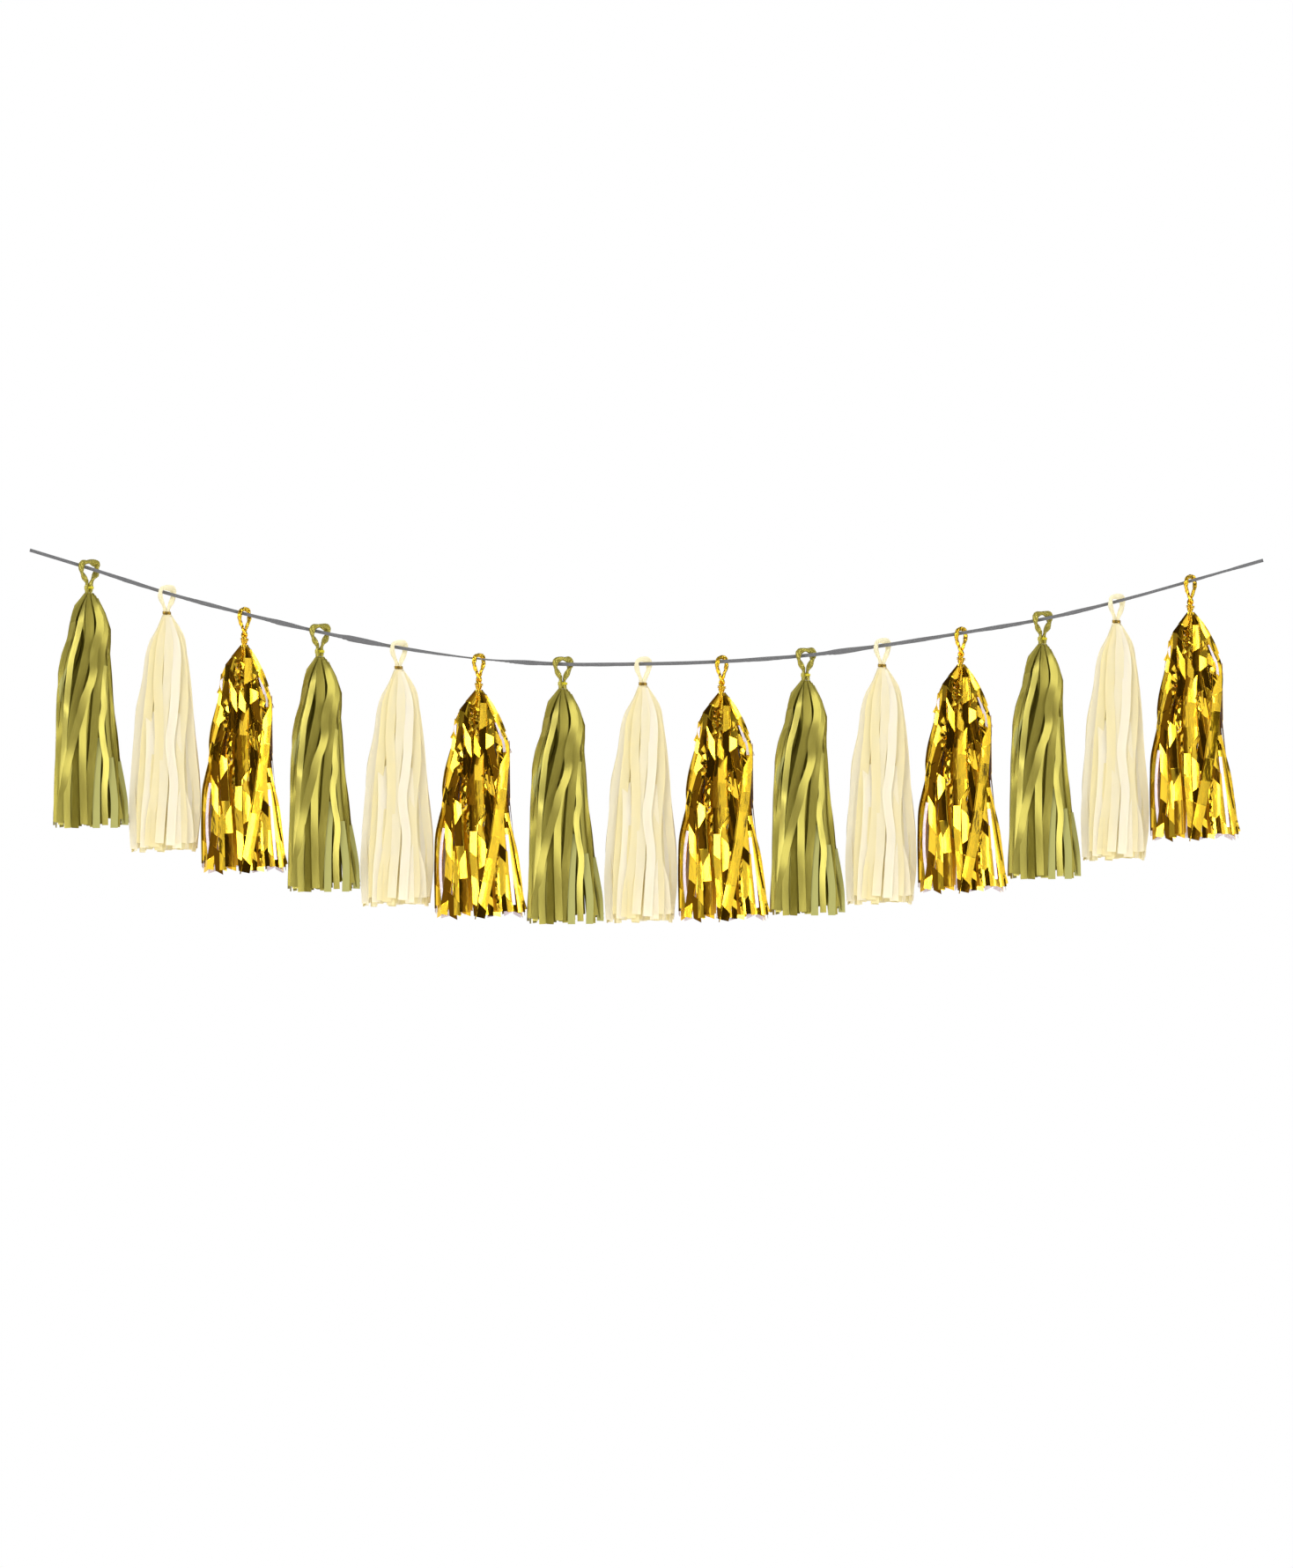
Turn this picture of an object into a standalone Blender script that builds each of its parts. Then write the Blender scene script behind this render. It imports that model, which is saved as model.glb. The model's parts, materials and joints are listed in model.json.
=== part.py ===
"""A paper tassel garland: fifteen tassels hang by their loops on one sagging ribbon.

Lengths are in metres. X runs along the span, the front faces -Y and Z is up. The origin is
where the left end is fastened: a point on the ribbon's back face, near its cut end.
Every tassel swings about its own pivot, the point of the ribbon's centreline that it hangs on.
"""

import math

import bmesh
import bpy
from mathutils import Vector

# The span and what hangs where
SPAN = 1.5
SAG = 0.139
FASTENING_INSET = 0.010
SEAT_GAP = 0.0003
SWING_GAP = 0.0003
HEM_GAP = 0.0015
FIRST_HEM_REACH = 0.0425
LAST_HEM_REACH = 0.0600

# Each tassel's kind, its place along the span, how far down the sag the ribbon is there, and
# how much of the ribbon's width stands up where its loop gathers it
HANG_SHARES = (
    ("satin", 0.048, 0.159, 0.50),
    ("cream", 0.111, 0.376, 0.50),
    ("foil", 0.174, 0.557, 0.50),
    ("satin", 0.235, 0.716, 0.50),
    ("cream", 0.299, 0.853, 0.50),
    ("foil", 0.364, 0.951, 0.25),
    ("satin", 0.432, 0.998, 0.52),
    ("cream", 0.497, 0.996, 0.52),
    ("foil", 0.561, 0.975, 0.52),
    ("satin", 0.629, 0.922, 0.52),
    ("cream", 0.691, 0.836, 0.54),
    ("foil", 0.755, 0.727, 0.50),
    ("satin", 0.821, 0.605, 0.50),
    ("cream", 0.881, 0.451, 0.47),
    ("foil", 0.941, 0.271, 0.44),
)
RIGHT_END_DROP_SHARE = 0.089

# The ribbon: a flat band, gathered by each loop and folded or rolled lengthwise between them.
# The table gives how much of its full width stands up away from the loops: half is one clean
# fold, and nearly all is an open band.
RIBBON_WIDTH = 0.0086
FOLDED_THICKNESS = 0.0015
FOLDED_SHARE = 0.5
GATHERED_REACH = 0.018
RIBBON_STEPS = 104
RIBBON_FREE_SHARES = (
    (0.000, 0.50),
    (0.080, 0.62),
    (0.143, 0.64),
    (0.205, 0.77),
    (0.262, 0.90),
    (0.275, 0.80),
    (0.330, 0.41),
    (0.404, 0.72),
    (0.465, 0.57),
    (0.529, 0.53),
    (0.596, 0.63),
    (0.656, 0.84),
    (0.667, 0.80),
    (0.721, 0.64),
    (0.785, 0.66),
    (0.849, 0.63),
    (0.908, 0.43),
    (0.967, 0.36),
    (0.985, 0.50),
    (1.000, 0.50),
)

# The loops and their feet
ARCH_STEPS = 8
LIMB_STEPS = 4
LIMB_GAP = 0.0005
LOOP_BEVEL_RESOLUTION = 1
TIE_STEPS_PER_TURN = 8
TIE_START_GAP = 0.0006

# The fringe: a crown of gathered paper, ten strips round its rim and ten more inside them
STRIPS_PER_LAYER = 10
STRIP_THICKNESS = 0.0012
STRIP_TOP_SHARE = 0.72
FRINGE_DEPTH_SHARE = 0.70
INNER_LAYER_SHARE = 0.62
SHOULDER_FALL_SHARE = 0.11
CROWN_FALL_SHARE = 0.18
HEM_STEP_SHARES = (0.000, -0.020, -0.004, -0.028, -0.012, -0.001, -0.017, -0.008, -0.024, -0.006)

# The three kinds of tassel. A fringe's outline gives its left and right half widths as shares
# of the reach that its hem has on that side: at the shoulder, under the crown, at the bend of
# the strips and at the hem. hem_side_share is how the space up to the next loop is shared.
KINDS = {
    "satin": {
        "loop_half_width": 0.0090,
        "ropes": (0.0058, 0.0060, 0.0072),
        "foot_rope": 0.0041,
        "neck_fall": 0.0205,
        "foot_fall": 0.0300,
        "foot_turns": 0.0,
        "tie_rope": 0.0010,
        "tie_pitch": 0.0016,
        "tie_turns": 2.25,
        "crown_top_radius": 0.0050,
        "fringe_length": 0.2815,
        "strip_width": 0.0100,
        "bend_fall_share": 0.43,
        "outline_shares": ((0.475, 0.40), (0.59, 0.51), (0.89, 0.54), (1.00, 1.00)),
        "hem_side_share": 0.53,
    },
    "cream": {
        "loop_half_width": 0.0074,
        "ropes": (0.0052, 0.0062, 0.0068),
        "foot_rope": 0.0038,
        "neck_fall": 0.0212,
        "foot_fall": 0.0262,
        "foot_turns": 0.0,
        "tie_rope": 0.0008,
        "tie_pitch": 0.0013,
        "tie_turns": 2.25,
        "crown_top_radius": 0.0048,
        "fringe_length": 0.2860,
        "strip_width": 0.0086,
        "bend_fall_share": 0.70,
        "outline_shares": ((0.41, 0.47), (0.51, 0.54), (1.00, 1.00), (0.95, 0.88)),
        "hem_side_share": 0.437,
    },
    "foil": {
        "loop_half_width": 0.0054,
        "ropes": (0.0044, 0.0044, 0.0046),
        "foot_rope": 0.0020,
        "neck_fall": 0.0180,
        "foot_fall": 0.0375,
        "foot_turns": 0.75,
        "tie_rope": 0.0008,
        "tie_pitch": 0.0013,
        "tie_turns": 1.625,
        "crown_top_radius": 0.0042,
        "fringe_length": 0.2775,
        "strip_width": 0.0115,
        "bend_fall_share": 0.43,
        "outline_shares": ((0.485, 0.38), (0.59, 0.55), (0.81, 0.62), (1.00, 1.00)),
        "hem_side_share": 0.58,
    },
}

# The foil tassel's wrap sits low on the twisted neck, and its end hangs down the crown's front
WRAP_FALL = 0.0292
WRAP_TAIL_FALL = 0.0110
WRAP_TAIL_ROPE = 0.0034
WRAP_TAIL_STEPS = 3

# Colour, roughness and metallic value of each finish
FINISHES = {
    "grey_ribbon": ((0.216, 0.216, 0.216), 0.55, 0.0),
    "satin_tissue": ((0.430, 0.402, 0.084), 0.38, 0.6),
    "cream_tissue": ((0.913, 0.823, 0.521), 0.75, 0.0),
    "gold_foil": ((0.930, 0.610, 0.030), 0.14, 1.0),
    "yellow_string": ((0.820, 0.760, 0.080), 0.45, 0.2),
    "gold_wire": ((0.480, 0.330, 0.040), 0.25, 1.0),
}
PIECE_FINISHES = {
    "satin": {"loop": "satin_tissue", "tie": "yellow_string", "fringe": "satin_tissue"},
    "cream": {"loop": "cream_tissue", "tie": "gold_wire", "fringe": "cream_tissue"},
    "foil": {"loop": "gold_foil", "tie": "gold_foil", "fringe": "gold_foil"},
}

HANG_Y = -FOLDED_THICKNESS / 2


def mix(a, b, share):
    return a + (b - a) * share


def eased(share):
    """0 to 1 with no slope at either end."""
    return share * share * (3 - 2 * share)


def clear_scene():
    for obj in list(bpy.data.objects):
        bpy.data.objects.remove(obj)


def add_collection(name):
    collection = bpy.data.collections.new(name)
    bpy.context.scene.collection.children.link(collection)
    return collection


def add_material(name):
    colour, roughness, metallic = FINISHES[name]
    material = bpy.data.materials.new(name)
    material.use_nodes = True
    shader = material.node_tree.nodes["Principled BSDF"]
    shader.inputs["Base Color"].default_value = (*colour, 1)
    shader.inputs["Roughness"].default_value = roughness
    shader.inputs["Metallic"].default_value = metallic
    return material


def route_drop(share):
    """How far down the sag the ribbon is, on a smooth curve through the places that it hangs at."""
    rows = [(0.0, 0.0)] + [row[1:3] for row in HANG_SHARES] + [(1.0, RIGHT_END_DROP_SHARE)]
    slopes = []
    for i in range(len(rows)):
        low, high = rows[max(i - 1, 0)], rows[min(i + 1, len(rows) - 1)]
        slopes.append((high[1] - low[1]) / (high[0] - low[0]))
    share = min(max(share, 0.0), 1.0)
    i = max(n for n in range(len(rows) - 1) if rows[n][0] <= share)
    width = rows[i + 1][0] - rows[i][0]
    t = (share - rows[i][0]) / width
    value = mix(rows[i][1], rows[i + 1][1], eased(t))
    value += slopes[i] * width * t * (1 - t) ** 2
    return value - slopes[i + 1] * width * (1 - t) * t**2


def ribbon_z(x):
    """Height of the ribbon's centreline above the fastening point."""
    fastened = route_drop(FASTENING_INSET / SPAN)
    return SAG * (fastened - route_drop((x + FASTENING_INSET) / SPAN))


def open_rows():
    """How much of the ribbon stands up along the span: free between the loops, gathered at each."""
    reach = GATHERED_REACH / SPAN
    rows = list(RIBBON_FREE_SHARES)
    for _, place, _, gathered in HANG_SHARES:
        rows += [(place - reach, gathered), (place + reach, gathered)]
    return sorted(rows)


def ribbon_section(x):
    """(height, thickness) of the ribbon: the more it is folded up, the thicker it is."""
    share = min(max((x + FASTENING_INSET) / SPAN, 0.0), 1.0)
    rows = open_rows()
    i = max(n for n in range(len(rows) - 1) if rows[n][0] <= share)
    t = (share - rows[i][0]) / (rows[i + 1][0] - rows[i][0])
    open_share = mix(rows[i][1], rows[i + 1][1], eased(t))
    return RIBBON_WIDTH * open_share, FOLDED_THICKNESS * math.sqrt(FOLDED_SHARE / open_share)


def ribbon_slope(x):
    step = SPAN / RIBBON_STEPS
    return (ribbon_z(x + step) - ribbon_z(x - step)) / (2 * step)


def grow(face_mesh, face, points):
    """Extrudes a face and moves its corners to the points, given in the corners' order."""
    made = bmesh.ops.extrude_discrete_faces(face_mesh, faces=[face])
    grown = made["faces"][0]
    for vert, point in zip(grown.verts, points):
        vert.co = point
    return grown


def add_object(name, data, material, collection, pivot=None):
    obj = bpy.data.objects.new(name, data)
    data.materials.append(material)
    collection.objects.link(obj)
    obj.parent = pivot
    return obj


def add_mesh_object(name, face_mesh, material, collection, pivot=None):
    bmesh.ops.recalc_face_normals(face_mesh, faces=face_mesh.faces)
    mesh = bpy.data.meshes.new(name)
    face_mesh.to_mesh(mesh)
    face_mesh.free()
    return add_object(name, mesh, material, collection, pivot)


def add_tube(name, points, radii, resolution, material, collection, pivot):
    """A tube with filled ends along the points, whose radius follows the radii."""
    curve = bpy.data.curves.new(name, "CURVE")
    curve.dimensions = "3D"
    curve.bevel_depth = max(radii)
    curve.bevel_resolution = resolution
    curve.use_fill_caps = True
    spline = curve.splines.new("POLY")
    spline.points.add(len(points) - 1)
    for spline_point, point, radius in zip(spline.points, points, radii):
        spline_point.co = (*point, 1)
        spline_point.radius = radius / max(radii)
    return add_object(name, curve, material, collection, pivot)


def make_ribbon(material, collection):
    """The ribbon's four-cornered section, extruded from station to station."""
    face_mesh = bmesh.new()
    bmesh.ops.create_cube(face_mesh, size=2)

    def corner(station, front_back, down_up):
        x = SPAN * station / RIBBON_STEPS - FASTENING_INSET
        height, thickness = ribbon_section(x)
        along = Vector((1, 0, ribbon_slope(x))).normalized()
        up = Vector((-along.z, 0, along.x))
        centre = Vector((x, HANG_Y, ribbon_z(x)))
        return centre + up * down_up * height / 2 + Vector((0, front_back * thickness / 2, 0))

    far_face = next(f for f in face_mesh.faces if f.normal.x > 0.5)
    signs = [(v.co.y, v.co.z) for v in far_face.verts]
    for vert in face_mesh.verts:
        vert.co = corner(0 if vert.co.x < 0 else 1, vert.co.y, vert.co.z)
    for station in range(2, RIBBON_STEPS + 1):
        points = [corner(station, y, z) for y, z in signs]
        far_face = grow(face_mesh, far_face, points)
    return add_mesh_object("ribbon", face_mesh, material, collection)


class Hanging:
    """One tassel's kind, its pivot on the ribbon, and the room that it has there."""

    def __init__(self, index):
        kind, share, _, _ = HANG_SHARES[index]
        self.kind = kind
        self.sizes = KINDS[kind]
        self.name = f"tassel_{index + 1:02d}"
        self.x = SPAN * share - FASTENING_INSET
        self.pivot = Vector((self.x, HANG_Y, ribbon_z(self.x)))
        self.slope = abs(ribbon_slope(self.x))
        loop_reach = self.sizes["loop_half_width"] + max(self.sizes["ropes"]) / 2
        sections = [ribbon_section(self.x + side * loop_reach) for side in (-1, 0, 1)]
        self.ribbon_half_height = max(s[0] for s in sections) / 2
        self.ribbon_half_thickness = max(s[1] for s in sections) / 2
        self.hem_reaches = (self.hem_reach(index, -1), self.hem_reach(index, 1))

    def hem_reach(self, index, side):
        """How far the hem reaches from the pivot: up to half a hem gap from the next hem."""
        if index + side < 0:
            return FIRST_HEM_REACH
        if index + side == len(HANG_SHARES):
            return LAST_HEM_REACH
        left = min(index, index + side)
        pitch = SPAN * (HANG_SHARES[left + 1][1] - HANG_SHARES[left][1])
        left_share = KINDS[HANG_SHARES[left][0]]["hem_side_share"]
        share = left_share if side > 0 else 1 - left_share
        return pitch * share - HEM_GAP / 2

    def clear_distance(self, x, rope_radius):
        """Distance from the pivot's axis at which a rope passes the ribbon at any swing."""
        ribbon_reach = self.ribbon_half_height * math.sqrt(1 + self.slope**2)
        ribbon_reach += self.slope * abs(x)
        crossing = math.sqrt(1 + 2 * self.slope**2)
        corner = math.hypot(ribbon_reach, self.ribbon_half_thickness)
        return corner + rope_radius * crossing + SWING_GAP


def rope_radius_at(hanging, turn_share):
    """Rope radius over the arch: 0 at the left limb, 1 at the right one."""
    left, top, right = (rope / 2 for rope in hanging.sizes["ropes"])
    if turn_share < 0.5:
        return mix(left, top, eased(2 * turn_share))
    return mix(top, right, eased(2 * turn_share - 1))


def foot_spacing(sizes):
    """Half the distance between the two limbs' centres where they lie side by side."""
    return sizes["foot_rope"] / 2 + LIMB_GAP / 2


def limb_points(hanging, side):
    """One limb from below the ribbon down to its foot, as (point, radius) pairs."""
    sizes = hanging.sizes
    rope_radius = rope_radius_at(hanging, (1 + side) / 2)
    foot_radius = sizes["foot_rope"] / 2
    spacing = foot_spacing(sizes)
    half_width = sizes["loop_half_width"]
    half_depth = hanging.clear_distance(half_width, rope_radius)
    found = []
    for step in range(1, LIMB_STEPS + 1):
        fall = step / LIMB_STEPS
        open_share = (1 + math.cos(math.pi * fall)) / 2
        x = side * mix(spacing, half_width, open_share)
        y = side * half_depth * open_share
        point = Vector((x, y, -fall * sizes["neck_fall"]))
        found.append((point, mix(rope_radius, foot_radius, eased(fall))))
    foot_steps = max(1, round(sizes["foot_turns"] * TIE_STEPS_PER_TURN))
    for step in range(1, foot_steps + 1):
        angle = 2 * math.pi * sizes["foot_turns"] * step / foot_steps
        z = -mix(sizes["neck_fall"], sizes["foot_fall"], step / foot_steps)
        point = Vector((side * spacing * math.cos(angle), side * spacing * math.sin(angle), z))
        found.append((point, foot_radius))
    return found


def make_loop(hanging, material, collection, pivot):
    """The loop passes in front of the ribbon on its left, over it, and behind it on its right."""
    arch = []
    for step in range(ARCH_STEPS + 1):
        turn_share = step / ARCH_STEPS
        turn = math.pi * (turn_share - 0.5)
        rope_radius = rope_radius_at(hanging, turn_share)
        x = hanging.sizes["loop_half_width"] * math.sin(turn)
        distance = hanging.clear_distance(x, rope_radius)
        point = Vector((x, distance * math.sin(turn), distance * math.cos(turn)))
        arch.append((point, rope_radius))
    route = limb_points(hanging, -1)[::-1] + arch + limb_points(hanging, 1)
    points, radii = zip(*route)
    name = hanging.name + "_loop"
    add_tube(name, points, radii, LOOP_BEVEL_RESOLUTION, material, collection, pivot)


def winding_points(hanging, fall):
    """A tie's turns round the two limbs, from a fall below the pivot down."""
    sizes = hanging.sizes
    straight = foot_spacing(sizes)
    inner = sizes["foot_rope"] / 2
    if sizes["foot_turns"]:
        inner += straight
        straight = 0.0
    half_step = math.pi / TIE_STEPS_PER_TURN
    radius = (inner + SEAT_GAP + sizes["tie_rope"] / 2) / math.cos(half_step)
    found = []
    for step in range(round(sizes["tie_turns"] * TIE_STEPS_PER_TURN) + 1):
        angle = half_step * (2 * step + 1)
        x = radius * math.cos(angle) + math.copysign(straight, math.cos(angle))
        z = -fall - sizes["tie_pitch"] * step / TIE_STEPS_PER_TURN
        found.append(Vector((x, radius * math.sin(angle), z)))
    return found


def least_gap(points, rope):
    """The least gap between a winding's turns: from each point to those half a turn on or more."""
    half_turn = TIE_STEPS_PER_TURN // 2
    distances = []
    for i, point in enumerate(points):
        distances += [(point - other).length for other in points[i + half_turn :]]
    return min(distances) - rope


def make_tie(hanging, material, collection, pivot):
    """The string or wire wound round the neck, or the foil wrap with its hanging end."""
    sizes = hanging.sizes
    rope_radius = sizes["tie_rope"] / 2
    fall = sizes["neck_fall"] + TIE_START_GAP + rope_radius
    if hanging.kind == "foil":
        fall = WRAP_FALL
    points = winding_points(hanging, fall)
    radii = [rope_radius] * len(points)
    gap_mm = least_gap(points, sizes["tie_rope"]) * 1000
    print(f"{hanging.name}_tie: the least gap between its turns is {gap_mm:.2f} mm")
    if hanging.kind == "foil":
        start = points[-1]
        for step in range(1, WRAP_TAIL_STEPS + 1):
            share = step / WRAP_TAIL_STEPS
            radius = mix(rope_radius, WRAP_TAIL_ROPE / 2, share)
            fall_share = share * WRAP_TAIL_FALL / sizes["fringe_length"]
            crown_y = -fringe_reaches(hanging, fall_share)[2]
            z = mix(start.z, -sizes["foot_fall"] - WRAP_TAIL_FALL, share)
            y = min(start.y, crown_y - SEAT_GAP - radius)
            points.append(Vector((mix(start.x, 0.0, share), y, z)))
            radii.append(radius)
    add_tube(hanging.name + "_tie", points, radii, 0, material, collection, pivot)


def fringe_reaches(hanging, fall_share):
    """(left, right, depth) half widths of the fringe's outline at a share of its length."""
    sizes = hanging.sizes
    falls = (0.0, SHOULDER_FALL_SHARE, CROWN_FALL_SHARE, sizes["bend_fall_share"], 1.0)
    top = sizes["crown_top_radius"]
    rows = [(top, top)]
    for shares in sizes["outline_shares"]:
        rows.append(tuple(s * reach for s, reach in zip(shares, hanging.hem_reaches)))
    i = max(n for n in range(len(falls) - 1) if falls[n] <= fall_share)
    t = (fall_share - falls[i]) / (falls[i + 1] - falls[i])
    left, right = (mix(rows[i][side], rows[i + 1][side], t) for side in (0, 1))
    depth_share = mix(1.0, FRINGE_DEPTH_SHARE, min(1.0, fall_share / SHOULDER_FALL_SHARE))
    return left, right, depth_share * (left + right) / 2


def fringe_point(hanging, fall_share, angle, layer_share=1.0, inset=0.0):
    """A point of a layer's ring. The inset moves it towards the ring's middle."""
    left, right, depth = fringe_reaches(hanging, fall_share)
    side_reach = right if math.cos(angle) > 0 else left
    x = math.cos(angle) * (side_reach * layer_share - inset)
    y = math.sin(angle) * (depth * layer_share - inset)
    z = -hanging.sizes["foot_fall"] - SEAT_GAP - fall_share * hanging.sizes["fringe_length"]
    return Vector((x, y, z))


def strip_frame(hanging, fall_share, angle, layer_share):
    """Centre of a strip's outer face, its outward normal and its widthwise direction."""
    centre = fringe_point(hanging, fall_share, angle, layer_share)
    small = math.pi / 180
    ahead = fringe_point(hanging, fall_share, angle + small, layer_share)
    behind = fringe_point(hanging, fall_share, angle - small, layer_share)
    widthwise = (ahead - behind).normalized()
    return centre, Vector((widthwise.y, -widthwise.x, 0)), widthwise


def grow_strip(face_mesh, face, hanging, angle, layer_share, falls):
    """Grows one strip down from its top face, through the falls, to the hem."""
    centre, normal, widthwise = strip_frame(hanging, CROWN_FALL_SHARE, angle, layer_share)
    middle = face.calc_center_median()
    sides = []
    for vert in face.verts:
        away = vert.co - middle
        sides.append((math.copysign(1, away.dot(normal)), math.copysign(1, away.dot(widthwise))))
    for fall_share in falls:
        centre, normal, widthwise = strip_frame(hanging, fall_share, angle, layer_share)
        points = []
        for outward, sideways in sides:
            back = (outward - 1) / 2 * STRIP_THICKNESS
            across = sideways * hanging.sizes["strip_width"] / 2
            points.append(centre + normal * back + widthwise * across)
        face = grow(face_mesh, face, points)


def make_fringe(hanging, material, collection, pivot):
    """The gathered crown, with one ring of strips at its rim and one inside it."""
    pitch = 2 * math.pi / STRIPS_PER_LAYER
    half_top = pitch * STRIP_TOP_SHARE / 2
    angles = []
    for n in range(STRIPS_PER_LAYER):
        angles += [n * pitch - half_top, n * pitch + half_top]

    face_mesh = bmesh.new()
    bmesh.ops.create_cone(
        face_mesh, cap_ends=True, segments=len(angles), radius1=1, radius2=1, depth=2
    )
    rim_face = next(f for f in face_mesh.faces if f.normal.z < -0.5)
    top_face = next(f for f in face_mesh.faces if f.normal.z > 0.5)

    def ring(face, fall_share, layer_share=1.0, inset=0.0):
        """Points of the ring, in the order of the face's corners."""
        found = []
        for n in order[face]:
            point = fringe_point(hanging, fall_share, angles[n], layer_share, inset)
            found.append(point)
        return found

    def corner_order(face):
        even = 2 * math.pi / len(angles)
        start = math.atan2(top_face.verts[0].co.y, top_face.verts[0].co.x)
        turns = [(math.atan2(v.co.y, v.co.x) - start) / even for v in face.verts]
        return [round(turn) % len(angles) for turn in turns]

    order = {face: corner_order(face) for face in (rim_face, top_face)}
    for face, fall_share in ((top_face, 0.0), (rim_face, SHOULDER_FALL_SHARE)):
        points = ring(face, fall_share)
        for vert, point in zip(face.verts, points):
            vert.co = point

    def grow_ring(face, layer_share, inset):
        """Grows the crown's underside and returns the new face and the sides it left."""
        before = set(face_mesh.faces)
        corners = order.pop(face)
        order[face] = corners
        points = ring(face, CROWN_FALL_SHARE, layer_share, inset)
        grown = grow(face_mesh, face, points)
        order[grown] = corners
        sides = [f for f in face_mesh.faces if f not in before and f is not grown]
        return grown, sides

    face, _ = grow_ring(rim_face, 1.0, 0.0)
    layers = []
    for layer_share in (1.0, INNER_LAYER_SHARE):
        if layer_share < 1.0:
            face, _ = grow_ring(face, layer_share, 0.0)
        face, sides = grow_ring(face, layer_share, STRIP_THICKNESS)
        layers.append((layer_share, sides))

    for layer_share, sides in layers:
        falls = (hanging.sizes["bend_fall_share"], 1.0) if layer_share == 1.0 else (1.0,)
        offset = 0.0 if layer_share == 1.0 else pitch / 2
        for n in range(STRIPS_PER_LAYER):
            angle = n * pitch + offset
            target = fringe_point(hanging, CROWN_FALL_SHARE, angle, layer_share)
            top = min(sides, key=lambda f: (f.calc_center_median() - target).length)
            sides.remove(top)
            hem = falls[-1] + HEM_STEP_SHARES[n % len(HEM_STEP_SHARES)]
            grow_strip(face_mesh, top, hanging, angle, layer_share, falls[:-1] + (hem,))
    add_mesh_object(hanging.name + "_fringe", face_mesh, material, collection, pivot)


def make_tassel(hanging, materials, collection):
    """The three pieces hang on an empty at the pivot, about which they swing together."""
    pivot = bpy.data.objects.new(hanging.name + "_pivot", None)
    pivot.empty_display_size = hanging.sizes["loop_half_width"]
    pivot.location = hanging.pivot
    collection.objects.link(pivot)
    finishes = PIECE_FINISHES[hanging.kind]
    make_loop(hanging, materials[finishes["loop"]], collection, pivot)
    make_tie(hanging, materials[finishes["tie"]], collection, pivot)
    make_fringe(hanging, materials[finishes["fringe"]], collection, pivot)


def main():
    clear_scene()
    collection = add_collection("paper_tassel_garland")
    materials = {name: add_material(name) for name in FINISHES}
    make_ribbon(materials["grey_ribbon"], collection)
    for index in range(len(HANG_SHARES)):
        make_tassel(Hanging(index), materials, collection)


main()
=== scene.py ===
# %% [markdown]
# # A paper tassel garland
# Fifteen tassels of satin tissue, cream tissue and gold foil hang from one sagging ribbon. The packed
# model gives every place and size: where each tassel hangs, how far its fringe reaches, how thick the
# ribbon is. This script gives the pieces their looks, and leaves all of that as it is.

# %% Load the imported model
import json
import math

import bpy
import numpy as np
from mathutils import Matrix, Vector


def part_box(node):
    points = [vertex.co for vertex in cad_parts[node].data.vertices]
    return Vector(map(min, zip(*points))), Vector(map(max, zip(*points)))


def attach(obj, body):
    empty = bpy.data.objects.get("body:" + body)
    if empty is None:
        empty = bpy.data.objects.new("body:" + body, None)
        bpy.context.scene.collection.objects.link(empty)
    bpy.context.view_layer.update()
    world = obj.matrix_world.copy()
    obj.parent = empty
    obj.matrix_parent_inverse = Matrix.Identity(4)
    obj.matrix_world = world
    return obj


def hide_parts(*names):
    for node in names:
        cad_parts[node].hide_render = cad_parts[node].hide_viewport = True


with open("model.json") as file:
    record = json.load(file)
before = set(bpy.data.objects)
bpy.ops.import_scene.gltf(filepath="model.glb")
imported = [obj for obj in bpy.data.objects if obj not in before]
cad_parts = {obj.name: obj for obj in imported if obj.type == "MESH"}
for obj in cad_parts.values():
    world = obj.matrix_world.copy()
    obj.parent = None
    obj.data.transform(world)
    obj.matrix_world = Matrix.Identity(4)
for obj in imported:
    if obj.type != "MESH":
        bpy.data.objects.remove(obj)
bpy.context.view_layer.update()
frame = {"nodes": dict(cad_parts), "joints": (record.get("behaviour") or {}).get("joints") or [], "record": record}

# %% [markdown]
# ## Where things are
# Lengths on paper are handy in millimetres, and Blender works in metres, so one value turns the first
# into the second. Each tassel swings about its own pivot on the ribbon, and the kind of tassel follows
# from the finish that the record gives its loop.

# %% Pivots and kinds
MM = 0.001
SLOT_KINDS = {"satin_tissue": "satin", "cream_tissue": "cream", "gold_foil": "foil"}

node_slots = {part["node"]: part["material_slot"] for part in frame["record"]["subparts"]}
pivots = {joint["child"]: Vector(joint["pos_m"]) for joint in frame["joints"]}
kinds = {tassel: SLOT_KINDS[node_slots[tassel + "_loop"]] for tassel in pivots}
print(kinds)

# %% [markdown]
# ## The camera
# The reference picture is flat: no tassel is seen from the side, and those at the ends look like those
# in the middle. A long lens far away gives that, and still has a real perspective. The view is centred
# on a point below the garland, and level.

# %% Camera
VIEW_CENTRE = Vector((0.740, 0.0, -0.2814))
VIEW_HEIGHT = 1.907
CAMERA_DISTANCE = 12.0

camera_data = bpy.data.cameras.new("long_lens")
camera_data.sensor_fit = "AUTO"
camera_data.lens = camera_data.sensor_width * CAMERA_DISTANCE / VIEW_HEIGHT
camera_data.clip_end = 4 * CAMERA_DISTANCE
camera = bpy.data.objects.new("camera", camera_data)
bpy.context.scene.collection.objects.link(camera)
camera.location = VIEW_CENTRE - Vector((0, CAMERA_DISTANCE, 0))
camera.rotation_euler = (math.radians(90), 0, 0)
bpy.context.scene.camera = camera
bpy.context.scene.view_settings.view_transform = "Standard"
print("lens, mm:", round(camera_data.lens, 1))

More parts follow.
